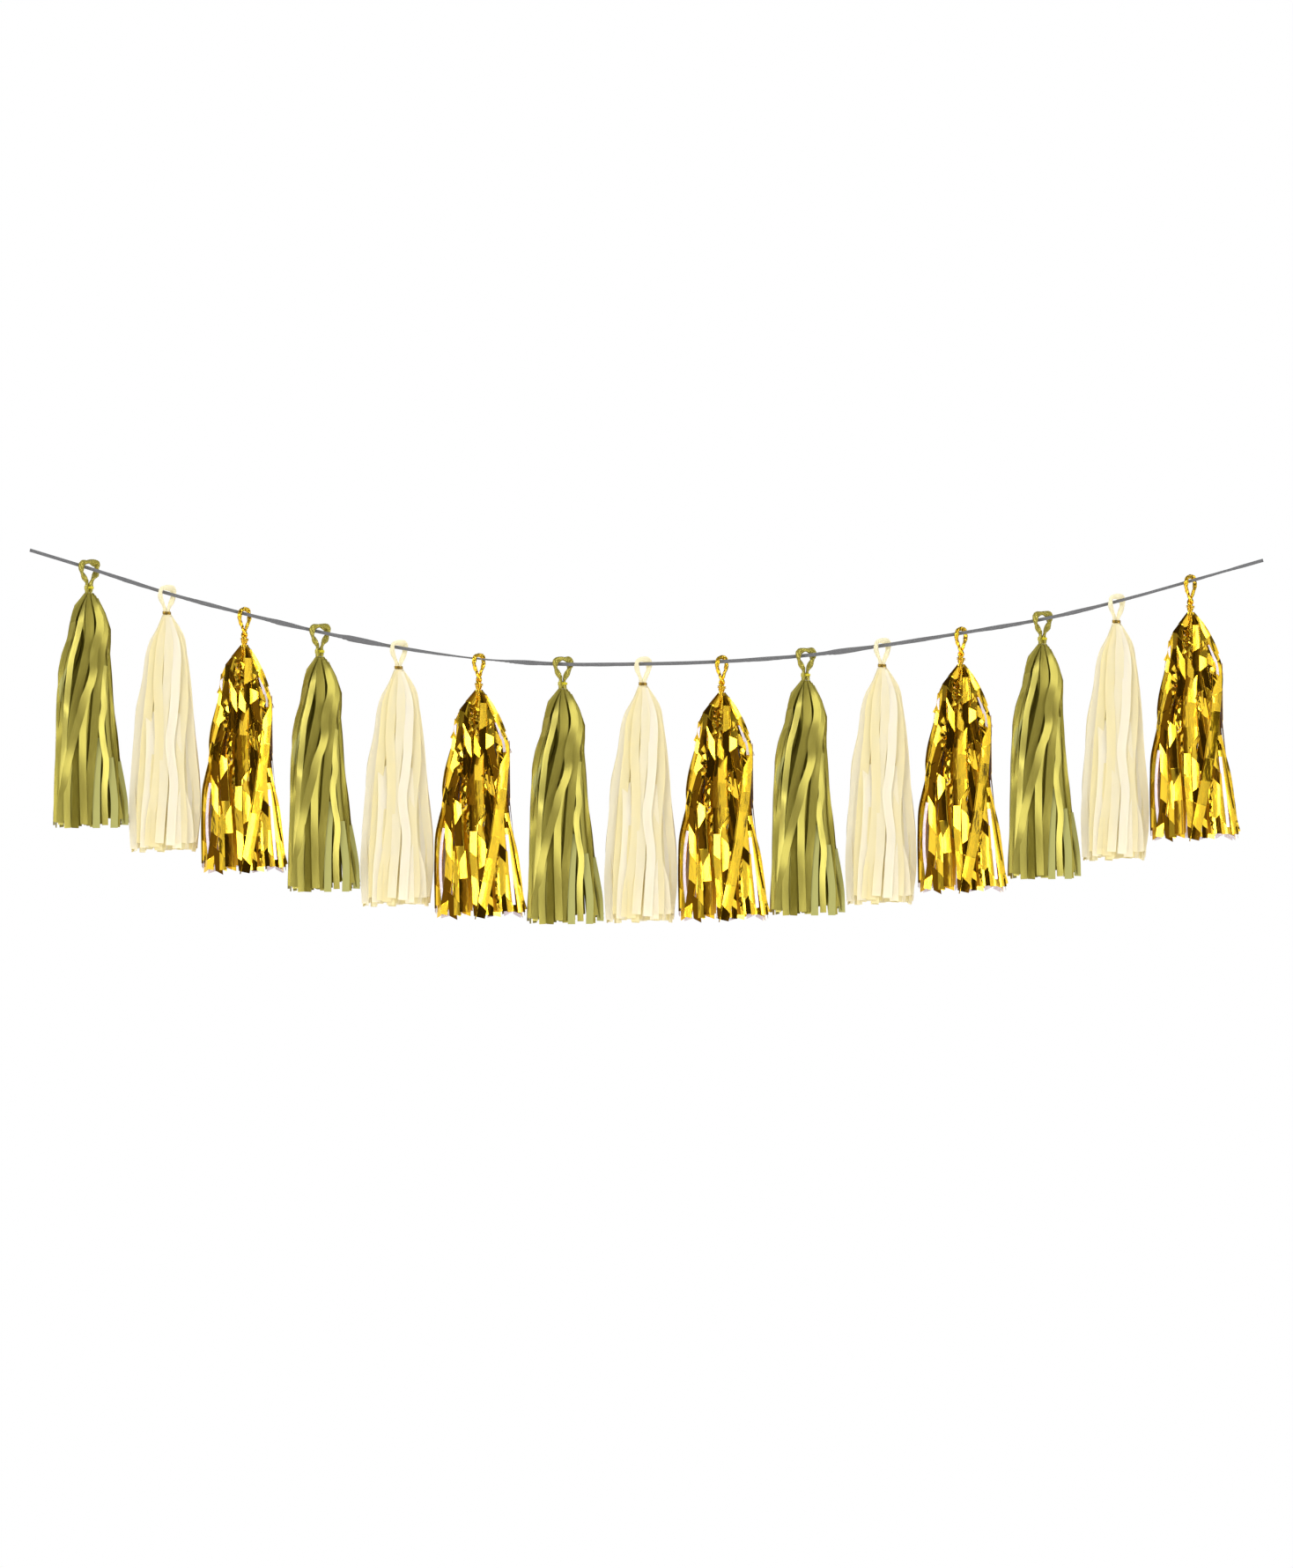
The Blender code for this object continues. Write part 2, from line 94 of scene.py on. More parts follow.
# %% [markdown]
# ## Helpers for shader nodes
# Every material below is a small tree of nodes. One helper adds one node, sets its own settings, and
# fills or links its inputs by name. Colours are written as sRGB hex, as a designer would note them, and
# turned to the linear values that a shader wants. All surfaces end alike: a bump, a shader, an output.


# %% Node and colour helpers
def linear(hex_colour):
    """Linear RGBA from an sRGB hex colour such as #a9a34e."""
    channels = [int(hex_colour[i : i + 2], 16) / 255 for i in (1, 3, 5)]
    return (*[c / 12.92 if c <= 0.04045 else ((c + 0.055) / 1.055) ** 2.4 for c in channels], 1.0)


def add_node(tree, kind, inputs=None, **settings):
    """Adds a node. A node or socket given as an input is linked, and anything else is its value."""
    node = tree.nodes.new(kind)
    for name, value in settings.items():
        setattr(node, name, value)
    for name, value in (inputs or {}).items():
        if isinstance(value, bpy.types.Node):
            value = next(socket for socket in value.outputs if socket.enabled)
        if isinstance(value, bpy.types.NodeSocket):
            tree.links.new(value, node.inputs[name])
        else:
            node.inputs[name].default_value = value
    return node


def new_material(name):
    """A material with an empty tree, and that tree."""
    material = bpy.data.materials.new(name)
    material.use_nodes = True
    material.node_tree.nodes.clear()
    return material, material.node_tree


def add_surface(tree, height, strength, height_mm, inputs, glow=0.0):
    """The bump, the shader and the output. glow is the share of light that comes through."""
    bumps = {"Strength": strength, "Distance": height_mm * MM, "Height": height}
    bump = add_node(tree, "ShaderNodeBump", bumps)
    surface = add_node(tree, "ShaderNodeBsdfPrincipled", {**inputs, "Normal": bump})
    if glow:
        through = add_node(tree, "ShaderNodeBsdfTranslucent", {"Color": inputs["Base Color"]})
        surface = add_node(tree, "ShaderNodeMixShader", {"Fac": glow, 1: surface, 2: through})
    add_node(tree, "ShaderNodeOutputMaterial", {"Surface": surface})


print("pure olive, linear:", [round(c, 3) for c in linear("#a9a34e")])

# %% [markdown]
# ## Light
# A white studio with no visible wall: the camera sees plain white, and everything matt gets soft even
# light. Foil shows whatever stands around it, so an even white room would make it look like flat yellow
# card. Photographers hang tall light panels with dark gaps between them, and each facet of the foil then
# picks up a panel or a gap. The wall below gives that to the rays that gloss reflects: going round from
# behind the garland, each row is the angle where a panel or gap begins (0 is the camera's side, positive
# is to the right) and how bright it is. The dark gaps are a warm brown, as wood and cloth in a room are.
# Slow noise bends the edges a little, and makes each panel brighter in one part than in another.

# %% World
WALL = (
    (-180, 0.90), (-160, 0.04), (-138, 1.00), (-108, 0.30), (-94, 0.04), (-80, 0.60), (-68, 0.04),
    (-60, 1.10), (-51, 8.50), (-46, 1.10), (-39, 0.05), (-34, 1.10), (-24, 0.45), (-18, 0.03),
    (-10, 0.14), (1, 0.03), (11, 0.20), (18, 1.10), (26, 9.00), (31, 1.10), (38, 0.05),
    (43, 1.15), (56, 0.03), (66, 0.50), (76, 0.03), (90, 1.00), (97, 3.50), (100, 0.40),
    (112, 0.05), (130, 0.95), (158, 0.05),
)
WALL_BEND_ANGLE = 9
BEND_SCALE, PATCH_SCALE = 2.6, 5.0
FLOOR_BELOW, CEILING_ABOVE = -0.60, 0.72
FLOOR_AND_CEILING_STRENGTH = 0.24
AMBIENT_STRENGTH = 1.00
GAP_BELOW_STRENGTH = 0.25
GAP_TINT = (1.0, 0.66, 0.40)
NOISE_LOW, NOISE_HIGH = 0.3, 0.7
DIMMEST_PATCH, BRIGHTEST_PATCH = 0.52, 1.30

world = bpy.data.worlds.new("white_studio")
bpy.context.scene.world = world
world.use_nodes = True
sky = world.node_tree
sky.nodes.clear()

place = add_node(sky, "ShaderNodeTexCoord").outputs["Generated"]
direction = add_node(sky, "ShaderNodeSeparateXYZ", {"Vector": place}).outputs
to_camera = add_node(sky, "ShaderNodeMath", {0: direction["Y"], 1: -1.0}, operation="MULTIPLY")
turn = add_node(sky, "ShaderNodeMath", {0: direction["X"], 1: to_camera}, operation="ARCTAN2")
bend = add_node(sky, "ShaderNodeTexNoise", {"Vector": place, "Scale": BEND_SCALE, "Detail": 2.0})
reach = math.radians(WALL_BEND_ANGLE)
bent = add_node(sky, "ShaderNodeMath", {0: bend, 1: 2 * reach, 2: turn}, operation="MULTIPLY_ADD")
once_round = {"Value": bent, "From Min": reach - math.pi, "From Max": reach + math.pi}
share_round = add_node(sky, "ShaderNodeMapRange", once_round)
share_up = add_node(sky, "ShaderNodeMapRange", {"Value": direction["Z"], "From Min": -1.0})
wall = add_node(sky, "ShaderNodeValToRGB", {"Fac": share_round})
beyond_wall = add_node(sky, "ShaderNodeValToRGB", {"Fac": share_up})
rows_round = [((angle + 180) / 360, strength) for angle, strength in WALL]
rows_up = [(0.0, 1.0), ((1 + FLOOR_BELOW) / 2, 0.0), ((1 + CEILING_ABOVE) / 2, 1.0)]
for ramp, rows in ((wall.color_ramp, rows_round), (beyond_wall.color_ramp, rows_up)):
    ramp.interpolation = "CONSTANT"
    while len(ramp.elements) > 1:
        ramp.elements.remove(ramp.elements[-1])
    for share, value in rows:
        stop = ramp.elements[0] if share == 0 else ramp.elements.new(share)
        stop.position = share
        tint = GAP_TINT if value < GAP_BELOW_STRENGTH else (1, 1, 1)
        stop.color = (*[value * channel for channel in tint], 1)
either = {"Factor": beyond_wall, "A": wall, "B": (*[FLOOR_AND_CEILING_STRENGTH] * 3, 1)}
reflected = add_node(sky, "ShaderNodeMix", either, data_type="RGBA")
patches = add_node(sky, "ShaderNodeTexNoise", {"Vector": place, "Scale": PATCH_SCALE, "Detail": 1.0})
noise_range = {"Value": patches, "From Min": NOISE_LOW, "From Max": NOISE_HIGH}
patch_range = {"To Min": DIMMEST_PATCH, "To Max": BRIGHTEST_PATCH}
unevenness = add_node(sky, "ShaderNodeMapRange", {**noise_range, **patch_range})
room = add_node(sky, "ShaderNodeVectorMath", {0: reflected, "Scale": unevenness}, operation="SCALE")
rays = add_node(sky, "ShaderNodeLightPath").outputs
glossy_or_through = {0: rays["Is Glossy Ray"], 1: rays["Is Transmission Ray"]}
mirrored = add_node(sky, "ShaderNodeMath", glossy_or_through, operation="MAXIMUM")
either = {"Factor": mirrored, "A": (*[AMBIENT_STRENGTH] * 3, 1), "B": room}
softened = add_node(sky, "ShaderNodeMix", either, data_type="RGBA")
either = {"Factor": rays["Is Camera Ray"], "A": softened, "B": linear("#ffffff")}
seen = add_node(sky, "ShaderNodeMix", either, data_type="RGBA")
white = add_node(sky, "ShaderNodeBackground", {"Color": seen, "Strength": 1.0})
add_node(sky, "ShaderNodeOutputWorld", {"Surface": white})
print("light panels and gaps round the room:", len(WALL))

# %% [markdown]
# Broad lamps far away shape the strips: a key from the front left and above, a weaker fill from the
# right, and one from behind so that the back isn't dull. Sun lamps light every tassel alike however
# far along the ribbon it hangs, and a wide angle keeps their shadows soft. Gloss doesn't see them: the
# panels give it its highlights, and a sun in a mirror would only burn out.

# %% Lamps
LAMPS = {
    "key": {"turn": -34, "rise": 40, "strength": 1.2, "spread": 7},
    "fill": {"turn": 46, "rise": 14, "strength": 0.6, "spread": 40},
    "back": {"turn": 160, "rise": 34, "strength": 1.2, "spread": 30},
}

for name, lamp in LAMPS.items():
    data = bpy.data.lights.new(name, "SUN")
    data.energy = lamp["strength"]
    data.angle = math.radians(lamp["spread"])
    lamp_object = bpy.data.objects.new(name, data)
    bpy.context.scene.collection.objects.link(lamp_object)
    tip = math.radians(90 - lamp["rise"])
    lamp_object.rotation_euler = (tip, 0, math.radians(lamp["turn"]))
    lamp_object.visible_glossy = False
print("lamps:", list(LAMPS))

# %% [markdown]
# ## Tissue with a satin face
# The green-gold tissue is thin paper printed on one side with a pearl ink: mica flakes that shine like
# satin along the strip, over an olive colour. The reverse is bare paper, paler and matt. A Principled
# shader that is partly metallic gives the pearl. Fine lengthwise streaks come from noise that is
# stretched along the strip, read from a place that every strip keeps on its points, in millimetres.
# The cream tissue is plain and thin. Light that passes through and bounces between its sheets shows soft
# patches, warm or white, and these are painted light: slow noise and each strip's tint paint them in its colour.


# %% Strip coordinates for shaders
def strip_noise(tree, across_mm, along_mm, detail=3.0):
    """Noise with grains of the given size across and along each strip."""
    place = add_node(tree, "ShaderNodeAttribute", attribute_name="strip_place").outputs["Vector"]
    per_grain = (1 / across_mm, 1 / along_mm, 1.0)
    scaled = add_node(tree, "ShaderNodeVectorMath", {0: place, 1: per_grain}, operation="MULTIPLY")
    return add_node(tree, "ShaderNodeTexNoise", {"Vector": scaled, "Scale": 1.0, "Detail": detail})


print("strip noise ready")

# %% Satin tissue, its reverse, and plain cream tissue
FIBRES_MM = (0.9, 14.0)
PATCHES_MM = (11.0, 50.0)
COCKLE_MM, COCKLE_HEIGHT_MM, COCKLE_STRENGTH = 7.0, 0.3, 0.6
ROUGHNESS_SWING, SHEEN_ROUGHNESS = 0.06, 0.5


def tissue(name, dark, light, roughness, metallic, grain_mm=FIBRES_MM, tint_share=0.72, sheen=0.0,
           glow=0.0):
    """Thin paper: streaks or patches and each strip's own tint in its colour, fibres in its
    roughness, a slight cockle, and a glow of the light that comes through it."""
    material, tree = new_material(name)
    fibres = strip_noise(tree, *FIBRES_MM)
    cockle = strip_noise(tree, COCKLE_MM, 3 * COCKLE_MM, detail=1.0)
    swing = {"To Min": roughness - ROUGHNESS_SWING, "To Max": roughness + ROUGHNESS_SWING}
    rough = add_node(tree, "ShaderNodeMapRange", {"Value": fibres, **swing})
    grains = fibres if grain_mm == FIBRES_MM else strip_noise(tree, *grain_mm, detail=1.5)
    tint = add_node(tree, "ShaderNodeAttribute", attribute_name="strip_tint").outputs["Fac"]
    share = add_node(tree, "ShaderNodeMix", {"Factor": tint_share, "A": grains, "B": tint})
    shades = {"Factor": share, "A": linear(dark), "B": linear(light)}
    colour = add_node(tree, "ShaderNodeMix", shades, data_type="RGBA")
    looks = {"Base Color": colour, "Metallic": metallic, "Roughness": rough}
    dust = {"Sheen Weight": sheen, "Sheen Roughness": SHEEN_ROUGHNESS}
    add_surface(tree, cockle, COCKLE_STRENGTH, COCKLE_HEIGHT_MM, {**looks, **dust}, glow)
    return material


# The satin's and the cream's spans from darker to lighter shade are partly the paper's own tone and partly painted
# light and shade: the strips' tints pick lit and shaded copies of the paper from them.
satin_tissue = tissue("satin_tissue_pearl_face", "#7b6f14", "#d0c461", 0.34, 0.66)
tissue_reverse = tissue("satin_tissue_bare_reverse", "#b0ac58", "#c9c67e", 0.85, 0.0, glow=0.3)
cream_tissue = tissue("cream_tissue", "#f9f0bf", "#fffcf4", 0.85, 0.0, PATCHES_MM, 0.62, 0.1, 0.55)
print("tissues:", satin_tissue.name, tissue_reverse.name, cream_tissue.name)

# %% [markdown]
# ## Gold foil
# Party foil is a thin plastic film with a vapour of aluminium on it, lacquered gold on the face and
# left silver-white on the reverse. It is a true mirror, so it is fully metallic and nearly smooth. Its
# colour is the tint of what it mirrors, and the clear lacquer on it adds a little untinted gloss, which
# turns the hottest reflections pale. A long-wave crinkle is added to each flat facet.


# %% Foil face and reverse
SMOOTHER, ROUGHER = 0.03, 0.05
CRINKLE_STRENGTH, COAT_ROUGHNESS = 0.5, 0.04


def foil(name, colour, metallic, roughness, crinkle_mm, crinkle_height_mm, coat=0.0):
    """A metallised film: a mirror with a shallow crinkle."""
    material, tree = new_material(name)
    crinkle = strip_noise(tree, crinkle_mm, 2.5 * crinkle_mm, detail=2.0)
    swing = {"To Min": roughness - SMOOTHER, "To Max": roughness + ROUGHER}
    rough = add_node(tree, "ShaderNodeMapRange", {"Value": crinkle, **swing})
    looks = {"Base Color": linear(colour), "Metallic": metallic, "Roughness": rough}
    lacquer = {"Coat Weight": coat, "Coat Roughness": COAT_ROUGHNESS}
    add_surface(tree, crinkle, CRINKLE_STRENGTH, crinkle_height_mm, {**looks, **lacquer})
    return material


gold_foil = foil("gold_lacquered_film", "#f9cc2a", 1.0, 0.08, 9.0, 0.4, coat=0.45)
foil_reverse = foil("bare_film_reverse", "#f3e8f2", 0.35, 0.36, 7.0, 0.35)
print("foil:", gold_foil.name, foil_reverse.name)

# %% [markdown]
# ## String, wire and ribbon
# The string is a glossy yellow thread, the wire is thin drawn brass, and the ribbon is a woven band of
# grey polyester whose weft shows as fine ribs across it, 0.7 mm apart.


# %% String, wire and ribbon materials
RIB_SPACING_MM, RIB_STRENGTH = 0.7, 0.7
WEAR_MM = (3.0, 9.0)


def ribbed(name, dark, light, roughness, metallic, spacing_mm, height_mm):
    """Threads or grooves across the length, from bands along the strip's own place."""
    material, tree = new_material(name)
    place = add_node(tree, "ShaderNodeAttribute", attribute_name="strip_place").outputs["Vector"]
    along = add_node(tree, "ShaderNodeSeparateXYZ", {"Vector": place}).outputs["Y"]
    by_rib = {0: along, 1: 2 * math.pi / spacing_mm}
    phase = add_node(tree, "ShaderNodeMath", by_rib, operation="MULTIPLY")
    wave = add_node(tree, "ShaderNodeMath", {0: phase}, operation="SINE")
    height = add_node(tree, "ShaderNodeMapRange", {"Value": wave, "From Min": -1.0})
    shades = {"Factor": strip_noise(tree, *WEAR_MM), "A": linear(dark), "B": linear(light)}
    colour = add_node(tree, "ShaderNodeMix", shades, data_type="RGBA")
    looks = {"Base Color": colour, "Metallic": metallic, "Roughness": roughness}
    add_surface(tree, height, RIB_STRENGTH, height_mm, looks)
    return material


ribbon_weave = ribbed("grey_polyester_ribbon", "#606061", "#69696b", 0.62, 0.0, RIB_SPACING_MM, 0.05)
yellow_string = ribbed("yellow_rayon_string", "#cdbd1a", "#e8dc38", 0.38, 0.2, 0.6, 0.15)
gold_wire = ribbed("drawn_brass_wire", "#b08a22", "#ecc84e", 0.16, 1.0, 2.2, 0.1)
print("ribbon, string and wire ready")

# %% [markdown]
# ## How a sheet is built
# Every strip, the ribbon and the foil panels are thin sheets that follow a line of stations. At each
# station the sheet has a centre, a direction across it and a direction that it faces. Both faces and the
# cut edges are made, so that each sheet is a closed, thin body: light and the exported mesh then treat
# it as real paper. The two faces can hold different materials, as the real paper's do.


# %% Lines and pieces
def unit(vectors):
    return vectors / np.maximum(np.linalg.norm(vectors, axis=1, keepdims=True), 1e-12)


def along_of(centres):
    return unit(np.gradient(centres, axis=0))


def run_lengths(points):
    """How far each point is from the first one, along the line."""
    return np.concatenate([[0], np.cumsum(np.linalg.norm(np.diff(points, axis=0), axis=1))])


def eased(share):
    return share * share * (3 - 2 * share)


def smooth_curve(at, knots, values, slopes):
    """Places on a smooth curve that has the given values and slopes at its knots."""
    i = np.clip(np.searchsorted(knots, at, side="right") - 1, 0, len(knots) - 2)
    width = knots[i + 1] - knots[i]
    t = (at - knots[i]) / width
    curve = values[..., i] + (values[..., i + 1] - values[..., i]) * eased(t)
    return curve + width * t * (1 - t) * (slopes[..., i] * (1 - t) - slopes[..., i + 1] * t)


def make_piece(name, points, faces, materials, places, tints, sharp_angle):
    """An object with the strip values that shaders read, shaded smooth but for its sharp edges."""
    mesh = bpy.data.meshes.new(name)
    mesh.from_pydata(np.concatenate(points), [], faces)
    for material in materials:
        mesh.materials.append(material)
    place = mesh.attributes.new("strip_place", "FLOAT_VECTOR", "POINT")
    place.data.foreach_set("vector", np.concatenate(places).ravel())
    tint = mesh.attributes.new("strip_tint", "FLOAT", "POINT")
    tint.data.foreach_set("value", np.full(len(mesh.vertices), tints))
    mesh.shade_smooth()
    mesh.set_sharp_from_angle(angle=math.radians(sharp_angle))
    piece = bpy.data.objects.new(name, mesh)
    bpy.context.scene.collection.objects.link(piece)
    return piece


def stacked(*columns):
    """Rows of three numbers from three arrays that fit one another."""
    return np.stack(np.broadcast_arrays(*columns), axis=-1).reshape(-1, 3)


def dress(piece, node):
    """The piece rides with the node's body and stands for the node, which it hides."""
    body = next(b for b, nodes in frame["record"]["behaviour"]["bodies"].items() if node in nodes)
    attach(piece, body)
    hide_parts(node)


print("helpers for lines and pieces ready")

# %% Sheet builder
STRIP_THICKNESS = 0.00022
SEED_STEP_MM = 50
STRIP_SHARP_ANGLE = 40


class Sheets:
    """Collects closed thin sheets, and makes one object of them."""

    def __init__(self):
        self.points, self.places, self.tints, self.stations = [], [], [], []
        self.faces, self.slots, self.count = [], [], 0

    def add(self, centres, facing, half_widths, bow=0.0, skew=0.0, columns=3, tint=0.5, seed=0.0,
            front=0, back=1):
        """One sheet that faces about the given way. bow lifts its middle and skew slides its sides
        along it, per station. front and back are the materials of its faces."""
        rows, along = len(centres), along_of(centres)
        across = unit(np.cross(facing, along))
        facing = np.cross(along, across)
        s = np.linspace(-1, 1, columns)[:, None]
        skewed = along * (skew * s)[..., None]
        for side in (0.5, -0.5):
            lift = bow * (1 - s**2) + side * STRIP_THICKNESS
            points = centres + across * (half_widths * s)[..., None] + facing * lift[..., None]
            self.points.append((points + skewed).reshape(-1, 3))
            lengths = run_lengths(centres)
            self.places.append(stacked(half_widths * s / MM, lengths / MM, seed * SEED_STEP_MM))
        self.tints.append(np.full(2 * columns * rows, tint))
        self.stations.append(np.tile(self.count + np.arange(rows), 2 * columns))

        def quads(a, b, c, d, slot=front):
            self.faces.append(np.stack([a, b, c, d], axis=-1).reshape(-1, 4))
            self.slots.append(np.full(a.size, slot))

        face, rear = self.count + np.arange(2 * columns * rows).reshape(2, columns, rows)
        quads(face[:-1, :-1], face[:-1, 1:], face[1:, 1:], face[1:, :-1])
        quads(rear[:-1, :-1], rear[1:, :-1], rear[1:, 1:], rear[:-1, 1:], back)
        quads(face[0, :-1], rear[0, :-1], rear[0, 1:], face[0, 1:])
        quads(face[-1, :-1], face[-1, 1:], rear[-1, 1:], rear[-1, :-1])
        quads(face[:-1, 0], face[1:, 0], rear[1:, 0], rear[:-1, 0])
        quads(face[:-1, -1], rear[:-1, -1], rear[1:, -1], face[1:, -1])
        self.count += 2 * columns * rows

    def make(self, name, materials, folded=False):
        """The object. When it is folded, the edges across each sheet at its stations are sharp."""
        faces, tints = np.concatenate(self.faces).tolist(), np.concatenate(self.tints)
        piece = make_piece(name, self.points, faces, materials, self.places, tints, STRIP_SHARP_ANGLE)
        mesh = piece.data
        mesh.polygons.foreach_set("material_index", np.concatenate(self.slots).astype(np.int32))
        if folded:
            ends = np.empty(2 * len(mesh.edges), np.int32)
            mesh.edges.foreach_get("vertices", ends)
            stations = np.concatenate(self.stations)[ends.reshape(-1, 2)]
            sharp = np.empty(len(mesh.edges), bool)
            mesh.attributes["sharp_edge"].data.foreach_get("value", sharp)
            sharp |= stations[:, 0] == stations[:, 1]
            mesh.attributes["sharp_edge"].data.foreach_set("value", sharp)
        return piece


print("sheet builder ready")

# %% [markdown]
# ## The ribbon
# It hangs in one smooth line through the fifteen pivots. Each loop gathers it, and between them it opens
# and rolls, so the share of its full width that stands up changes along it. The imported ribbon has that
# height at every station. A strip of cloth whose section folds to and fro gives it at any share.

# %% Ribbon
RIBBON_WIDTH = 0.0086
CLOTH_THICKNESS = 0.00025
FOLDED_DEPTH = 0.0012
RIBBON_STATIONS, RIBBON_COLUMNS = 260, 25
RIBBON_SHARP_ANGLE = 50

ribbon_low, ribbon_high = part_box("ribbon")
corners = np.array([tuple(v.co) for v in frame["nodes"]["ribbon"].data.vertices])
corners = corners[np.argsort(corners[:, 0])]
left_end = corners[corners[:, 0] < ribbon_low.x + MM].mean(axis=0)
right_end = corners[corners[:, 0] > ribbon_high.x - MM].mean(axis=0)
hang_points = np.array([left_end, *sorted(tuple(pivot) for pivot in pivots.values()), right_end])
hang_x, hang_z = hang_points[:, 0], hang_points[:, 2]
last = len(hang_x) - 1
before, after = np.maximum(np.arange(last + 1) - 1, 0), np.minimum(np.arange(last + 1) + 1, last)
hang_slopes = (hang_z[after] - hang_z[before]) / (hang_x[after] - hang_x[before])


def ribbon_line(x):
    """Height of the ribbon's centreline: a smooth curve through the points that it hangs on."""
    return smooth_curve(x, hang_x, hang_z, hang_slopes)


x = np.linspace(hang_x[0], hang_x[-1], RIBBON_STATIONS)
ribbon_path = stacked(x, (ribbon_low.y + ribbon_high.y) / 2, ribbon_line(x))
along = along_of(ribbon_path)
up = stacked(-along[:, 2], 0.0, along[:, 0])
corner_heights = 2 * np.abs(corners[:, 2] - ribbon_line(corners[:, 0]))
heights = np.interp(x, corners[:, 0], corner_heights) * along[:, 0] - CLOTH_THICKNESS
across = np.linspace(0, RIBBON_WIDTH, RIBBON_COLUMNS)
rises = np.abs((across / heights[:, None]) % 2 - 1) - 0.5
points = ribbon_path[:, None] + up[:, None] * (rises * heights[:, None])[..., None]
points[..., 1] += (across / RIBBON_WIDTH - 0.5) * FOLDED_DEPTH
grid = np.arange(RIBBON_STATIONS * RIBBON_COLUMNS).reshape(RIBBON_STATIONS, RIBBON_COLUMNS)
quads = np.stack([grid[:-1, :-1], grid[1:, :-1], grid[1:, 1:], grid[:-1, 1:]], axis=-1)
lengths = run_lengths(ribbon_path)
places = stacked(across / MM, lengths[:, None] / MM, 0.0)
ribbon_band = make_piece(
    "ribbon_band", points, quads.reshape(-1, 4).tolist(), [ribbon_weave], [places], 0.5, RIBBON_SHARP_ANGLE
)
cloth = ribbon_band.modifiers.new("cloth", "SOLIDIFY")
cloth.thickness = CLOTH_THICKNESS
cloth.offset = 0
dress(ribbon_band, "ribbon")
print("ribbon length, m:", round(float(lengths[-1]), 3))

# %% [markdown]
# ## The fringe's outline
# A tassel's silhouette is what the eye reads first: narrow at the neck, a shoulder, then a slow flare to
# the hem. Each kind has its own, written as left and right half widths at falls below the neck, in
# millimetres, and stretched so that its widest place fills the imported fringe. The depth is a share of
# the width, written at falls too: film creases at the neck and spreads flatter than tissue.

# %% Outlines
OUTLINES_MM = {
    "satin": (
        (0, 5, 5), (16, 18, 16), (30, 21, 21), (44, 22, 26), (60, 27, 26), (74, 32, 25),
        (96, 37, 27), (148, 39, 31), (200, 40, 37), (240, 41, 44), (282, 42, 51),
    ),
    "cream": (
        (0, 5, 5), (18, 12, 17), (34, 21, 20), (50, 26, 24), (80, 30, 28), (112, 37, 32),
        (150, 41, 36), (196, 45, 40), (240, 45, 41), (286, 43, 37),
    ),
    "foil": (
        (0, 4, 4), (14, 15, 16), (30, 25, 26), (44, 31, 31), (58, 32, 37), (80, 35, 38),
        (120, 41, 36), (160, 46, 40), (200, 51, 46), (240, 53, 53), (278, 54, 58),
    ),
}
DEPTH_SHARES = {
    "satin": ((0, 1.0), (30, 0.70)),
    "cream": ((0, 1.0), (30, 0.70)),
    "foil": ((0, 1.0), (14, 0.60), (30, 0.62), (50, 0.70)),
}


class Fringe:
    """The room of one tassel's fringe, and the maps from its own millimetres to the scene."""

    def __init__(self, tassel):
        self.kind, self.pivot = kinds[tassel], pivots[tassel]
        low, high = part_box(tassel + "_fringe")
        self.top = high.z
        self.hem_mm = (high.z - low.z) / MM
        self.falls, *self.half_widths = zip(*OUTLINES_MM[self.kind])
        reaches = (self.pivot.x - low.x, high.x - self.pivot.x)
        self.scales = [reach / MM / max(half) for reach, half in zip(reaches, self.half_widths)]

    def reach(self, falls, side):
        """Half width on one side (0 left, 1 right) at falls in millimetres."""
        return np.interp(falls, self.falls, self.half_widths[side]) * self.scales[side]

    def depth(self, falls):
        share = np.interp(falls, *zip(*DEPTH_SHARES[self.kind]))
        return share * (self.reach(falls, 0) + self.reach(falls, 1)) / 2

    def on_ring(self, falls, angles, layers):
        """Centres and outward directions at angles round the outline, all per station."""
        cosines, sines = np.cos(angles), np.sin(angles)
        reach = np.where(cosines > 0, self.reach(falls, 1), self.reach(falls, 0))
        depth = self.depth(falls)
        out = unit(stacked(cosines / reach, sines / depth, 0.0))
        return self.placed(cosines * reach * layers, sines * depth * layers, falls), out

    def on_front(self, x, falls, lifts):
        """Centres on the front of the outline, at places across in millimetres."""
        x = x * np.where(x > 0, self.scales[1], self.scales[0])
        reach = np.where(x > 0, self.reach(falls, 1), self.reach(falls, 0))
        share = np.clip(np.abs(x) / reach, 0, 0.98)
        y = -self.depth(falls) * np.sqrt(1 - share**2) - lifts
        return self.placed(x, y, falls)

    def placed(self, x, y, falls):
        return stacked(x, y, -falls) * MM + np.array((self.pivot.x, self.pivot.y, self.top))


fringes = {tassel: Fringe(tassel) for tassel in pivots}
for tassel in list(fringes)[:3]:
    print(tassel, kinds[tassel], "scales", [round(s, 3) for s in fringes[tassel].scales])

# %% [markdown]
# ## Strips by rule
# Most of a tassel's strips are like one another, so a rule lays them: rings of strips round the outline,
# each with its own wander, tilt and length from a seeded random source. A tassel of one kind always
# gets the same numbers, as tassels cut and rolled in one batch look alike.

# %% Strip sizes
# bow, yaw_swing and lean: how round, how restless and how tilted a strip is
STRIPS = {
    "satin": {"width": 9.4, "neck_share": 0.34, "full_fall": 34, "bow": 0.10, "yaw_swing": 0.12,
              "lean": 0.24},
    "cream": {"width": 9.6, "neck_share": 0.36, "full_fall": 40, "bow": 0.15, "yaw_swing": 0.14,
              "lean": 0.12},
    "foil": {"width": 11.4, "neck_share": 0.42, "full_fall": 26, "bow": 0.35, "yaw_swing": 0.24},
}
# Each ring's count of strips, its share of the outline, and its start as a share of a strip's angle
RINGS = {
    "satin": ((22, 0.99, 0.0), (18, 0.80, 0.5), (9, 0.45, 0.2)),
    "cream": ((28, 0.99, 0.0), (24, 0.94, 0.5), (10, 0.6, 0.2)),
    "foil": ((20, 0.98, 0.0), (15, 0.78, 0.5), (8, 0.45, 0.2)),
}
